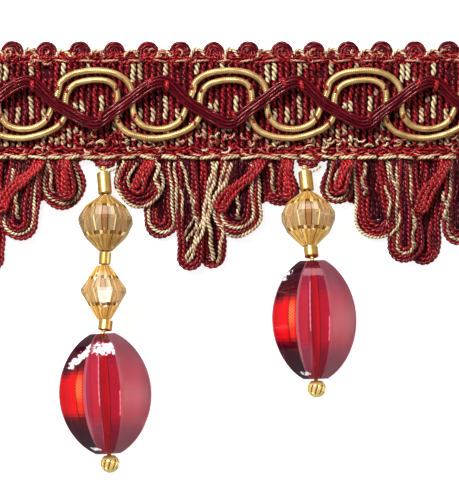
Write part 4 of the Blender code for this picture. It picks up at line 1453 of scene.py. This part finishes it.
# %% The two drops, from the solids' own ends
LONG_RUBY = 7.1
SHORT_RUBY = 6.5
PANELS = 8
BUGLE = 1.0
SPACER = 0.85
TOUCHING = 0.13
BLIND_BORE = 1.6
LONG_AXIS = LONG_RUBY * math.cos(math.pi / PANELS)
SHORT_AXIS = SHORT_RUBY * math.cos(math.pi / PANELS)
Bead = namedtuple("Bead", "node kind radius start end")
BEADS = [
    Bead("long_bugle_top", "tube", BUGLE, (-14.94, 11.9, 1.95), (-14.7, 9.08, 2.9)),
    Bead("long_bicone_large", "large_bicone", 4.2, (-14.6, 8.65, 3.2), (-14.6, 0.75, 4.65)),
    Bead("long_tube", "tube", SPACER, (-14.62, 0.42, 4.71), (-14.72, -1.06, 4.88)),
    Bead("long_bicone_small", "small_bicone", 3.5, (-14.9, -1.38, 4.92), (-14.75, -9.1, 5.75)),
    Bead("long_bugle_low", "tube", BUGLE, (-14.5, -9.4, 5.95), (-14.62, -10.5, 6.2)),
    Bead("long_ruby_oval", "ruby", LONG_RUBY, (-14.98, -11.12, LONG_AXIS), (-14.1, -28.3, LONG_AXIS)),
    Bead("long_end_bead", "ball", 1.34, (-13.95, -28.6, LONG_AXIS), (-13.8, -31.08, LONG_AXIS)),
    Bead("short_bugle_top", "tube", BUGLE, (14.2, 12.05, 2.0), (14.45, 9.55, 2.9)),
    Bead("short_bicone_large", "pale_bicone", 4.2, (14.5, 9.15, 3.15), (14.72, 1.42, 4.9)),
    Bead("short_bugle_low", "tube", BUGLE, (14.95, 1.12, 5.15), (15.05, 0.05, 5.58)),
    Bead("short_ruby_oval", "plain_ruby", SHORT_RUBY, (15.15, -0.62, SHORT_AXIS), (15.62, -17.6, SHORT_AXIS)),
    Bead("short_end_bead", "ball", 1.31, (15.72, -17.9, SHORT_AXIS), (15.82, -20.3, SHORT_AXIS)),
]

# %% Each kind of bead: its profile, what that takes beside the radius, its slot, and the rest of its making
Making = namedtuple("Making", "profile shape slot rest")
BUGLE_TUBE = dict(sides=24, finish=GOLD, bore=0.5)
SWIRLED = dict(sides=SWIRL_STEPS, finish=SWIRLED_GOLD, bore=0.55, blind=BLIND_BORE, swirl=0.12, shade=swirl_shade)
CUT_CRYSTAL = dict(sides=PANELS, finish=CRYSTAL, cuts=CRYSTAL_CUTS, gleam=crystal_gleam(0.30))
WITH_WHITE_REFLECTION = dict(CUT_CRYSTAL, shade=crystal_shade(0.20, white_reflection=True), gleam=crystal_gleam(0.55))
CUT_RUBY = dict(sides=PANELS, finish=RUBY, cuts=RUBY_CUTS, shade=ruby_shade)
LARGE_BICONE, SMALL_BICONE = (0.45, 0.78, 0.28), (0.47, 0.68, 0.33)
OVAL, BALL = (RUBY_END, 44), (0.72, 18)
BROAD_GLINT, NARROW_GLINT = ruby_gleam(-1.2, 0.50, 0.18), ruby_gleam(-1.5, -1.15, 0.0)
MAKINGS = {
    "tube": Making(tube_profile, (), "gold_bead", BUGLE_TUBE),
    "ball": Making(ball_profile, BALL, "gold_bead", SWIRLED),
    "large_bicone": Making(bicone_profile, LARGE_BICONE, "champagne_crystal",
                           dict(CUT_CRYSTAL, shade=crystal_shade(0.0))),
    "pale_bicone": Making(bicone_profile, LARGE_BICONE, "champagne_crystal",
                          dict(CUT_CRYSTAL, shade=crystal_shade(0.12))),
    "small_bicone": Making(bicone_profile, SMALL_BICONE, "champagne_crystal", WITH_WHITE_REFLECTION),
    "ruby": Making(oval_profile, OVAL, "ruby_acrylic", dict(CUT_RUBY, gleam=BROAD_GLINT)),
    "plain_ruby": Making(oval_profile, OVAL, "ruby_acrylic", dict(CUT_RUBY, gleam=NARROW_GLINT)),
}

# %% Make each bead, the bugles a little longer so that they touch their neighbours
for one in BEADS:
    making = MAKINGS[one.kind]
    start, end = np.array(one.start), np.array(one.end)
    if one.kind == "tube":
        more = (end - start) / np.linalg.norm(end - start) * TOUCHING
        start, end = start - more, end + more
    outline = making.profile(one.radius, *making.shape)
    place_piece(bead(one.node + "_cut", outline, start, end, **making.rest), making.slot, one.node)

# %% The bead threads keep their solids and take a finish of laid gold thread
THREAD_TONES = ((0.35, 0.20, 0.05), (0.85, 0.62, 0.28))
THREAD_LAY = 0.35
THREAD_SLANT = 4.0


def bead_thread_finish():
    """Two plies of gold thread, as slanting waves of tone and height."""
    thread = Finish("laid_gold_thread", {"Roughness": 0.4, "Metallic": 0.4})
    place = thread.place()
    lay = thread.part(place, "Y") * (2 * math.pi / (THREAD_LAY * MM))
    lay += thread.part(place, "X") * (THREAD_SLANT / MM)
    ply = lay.sine() * 0.5 + 0.5
    return thread.wear({"Base Color": thread.mix(ply, *THREAD_TONES), "Normal": thread.bump(ply, 0.6, 0.05)})


THREAD = bead_thread_finish()
for node in ("long_bead_thread", "short_bead_thread"):
    for material_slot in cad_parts[node].material_slots:
        material_slot.material = THREAD
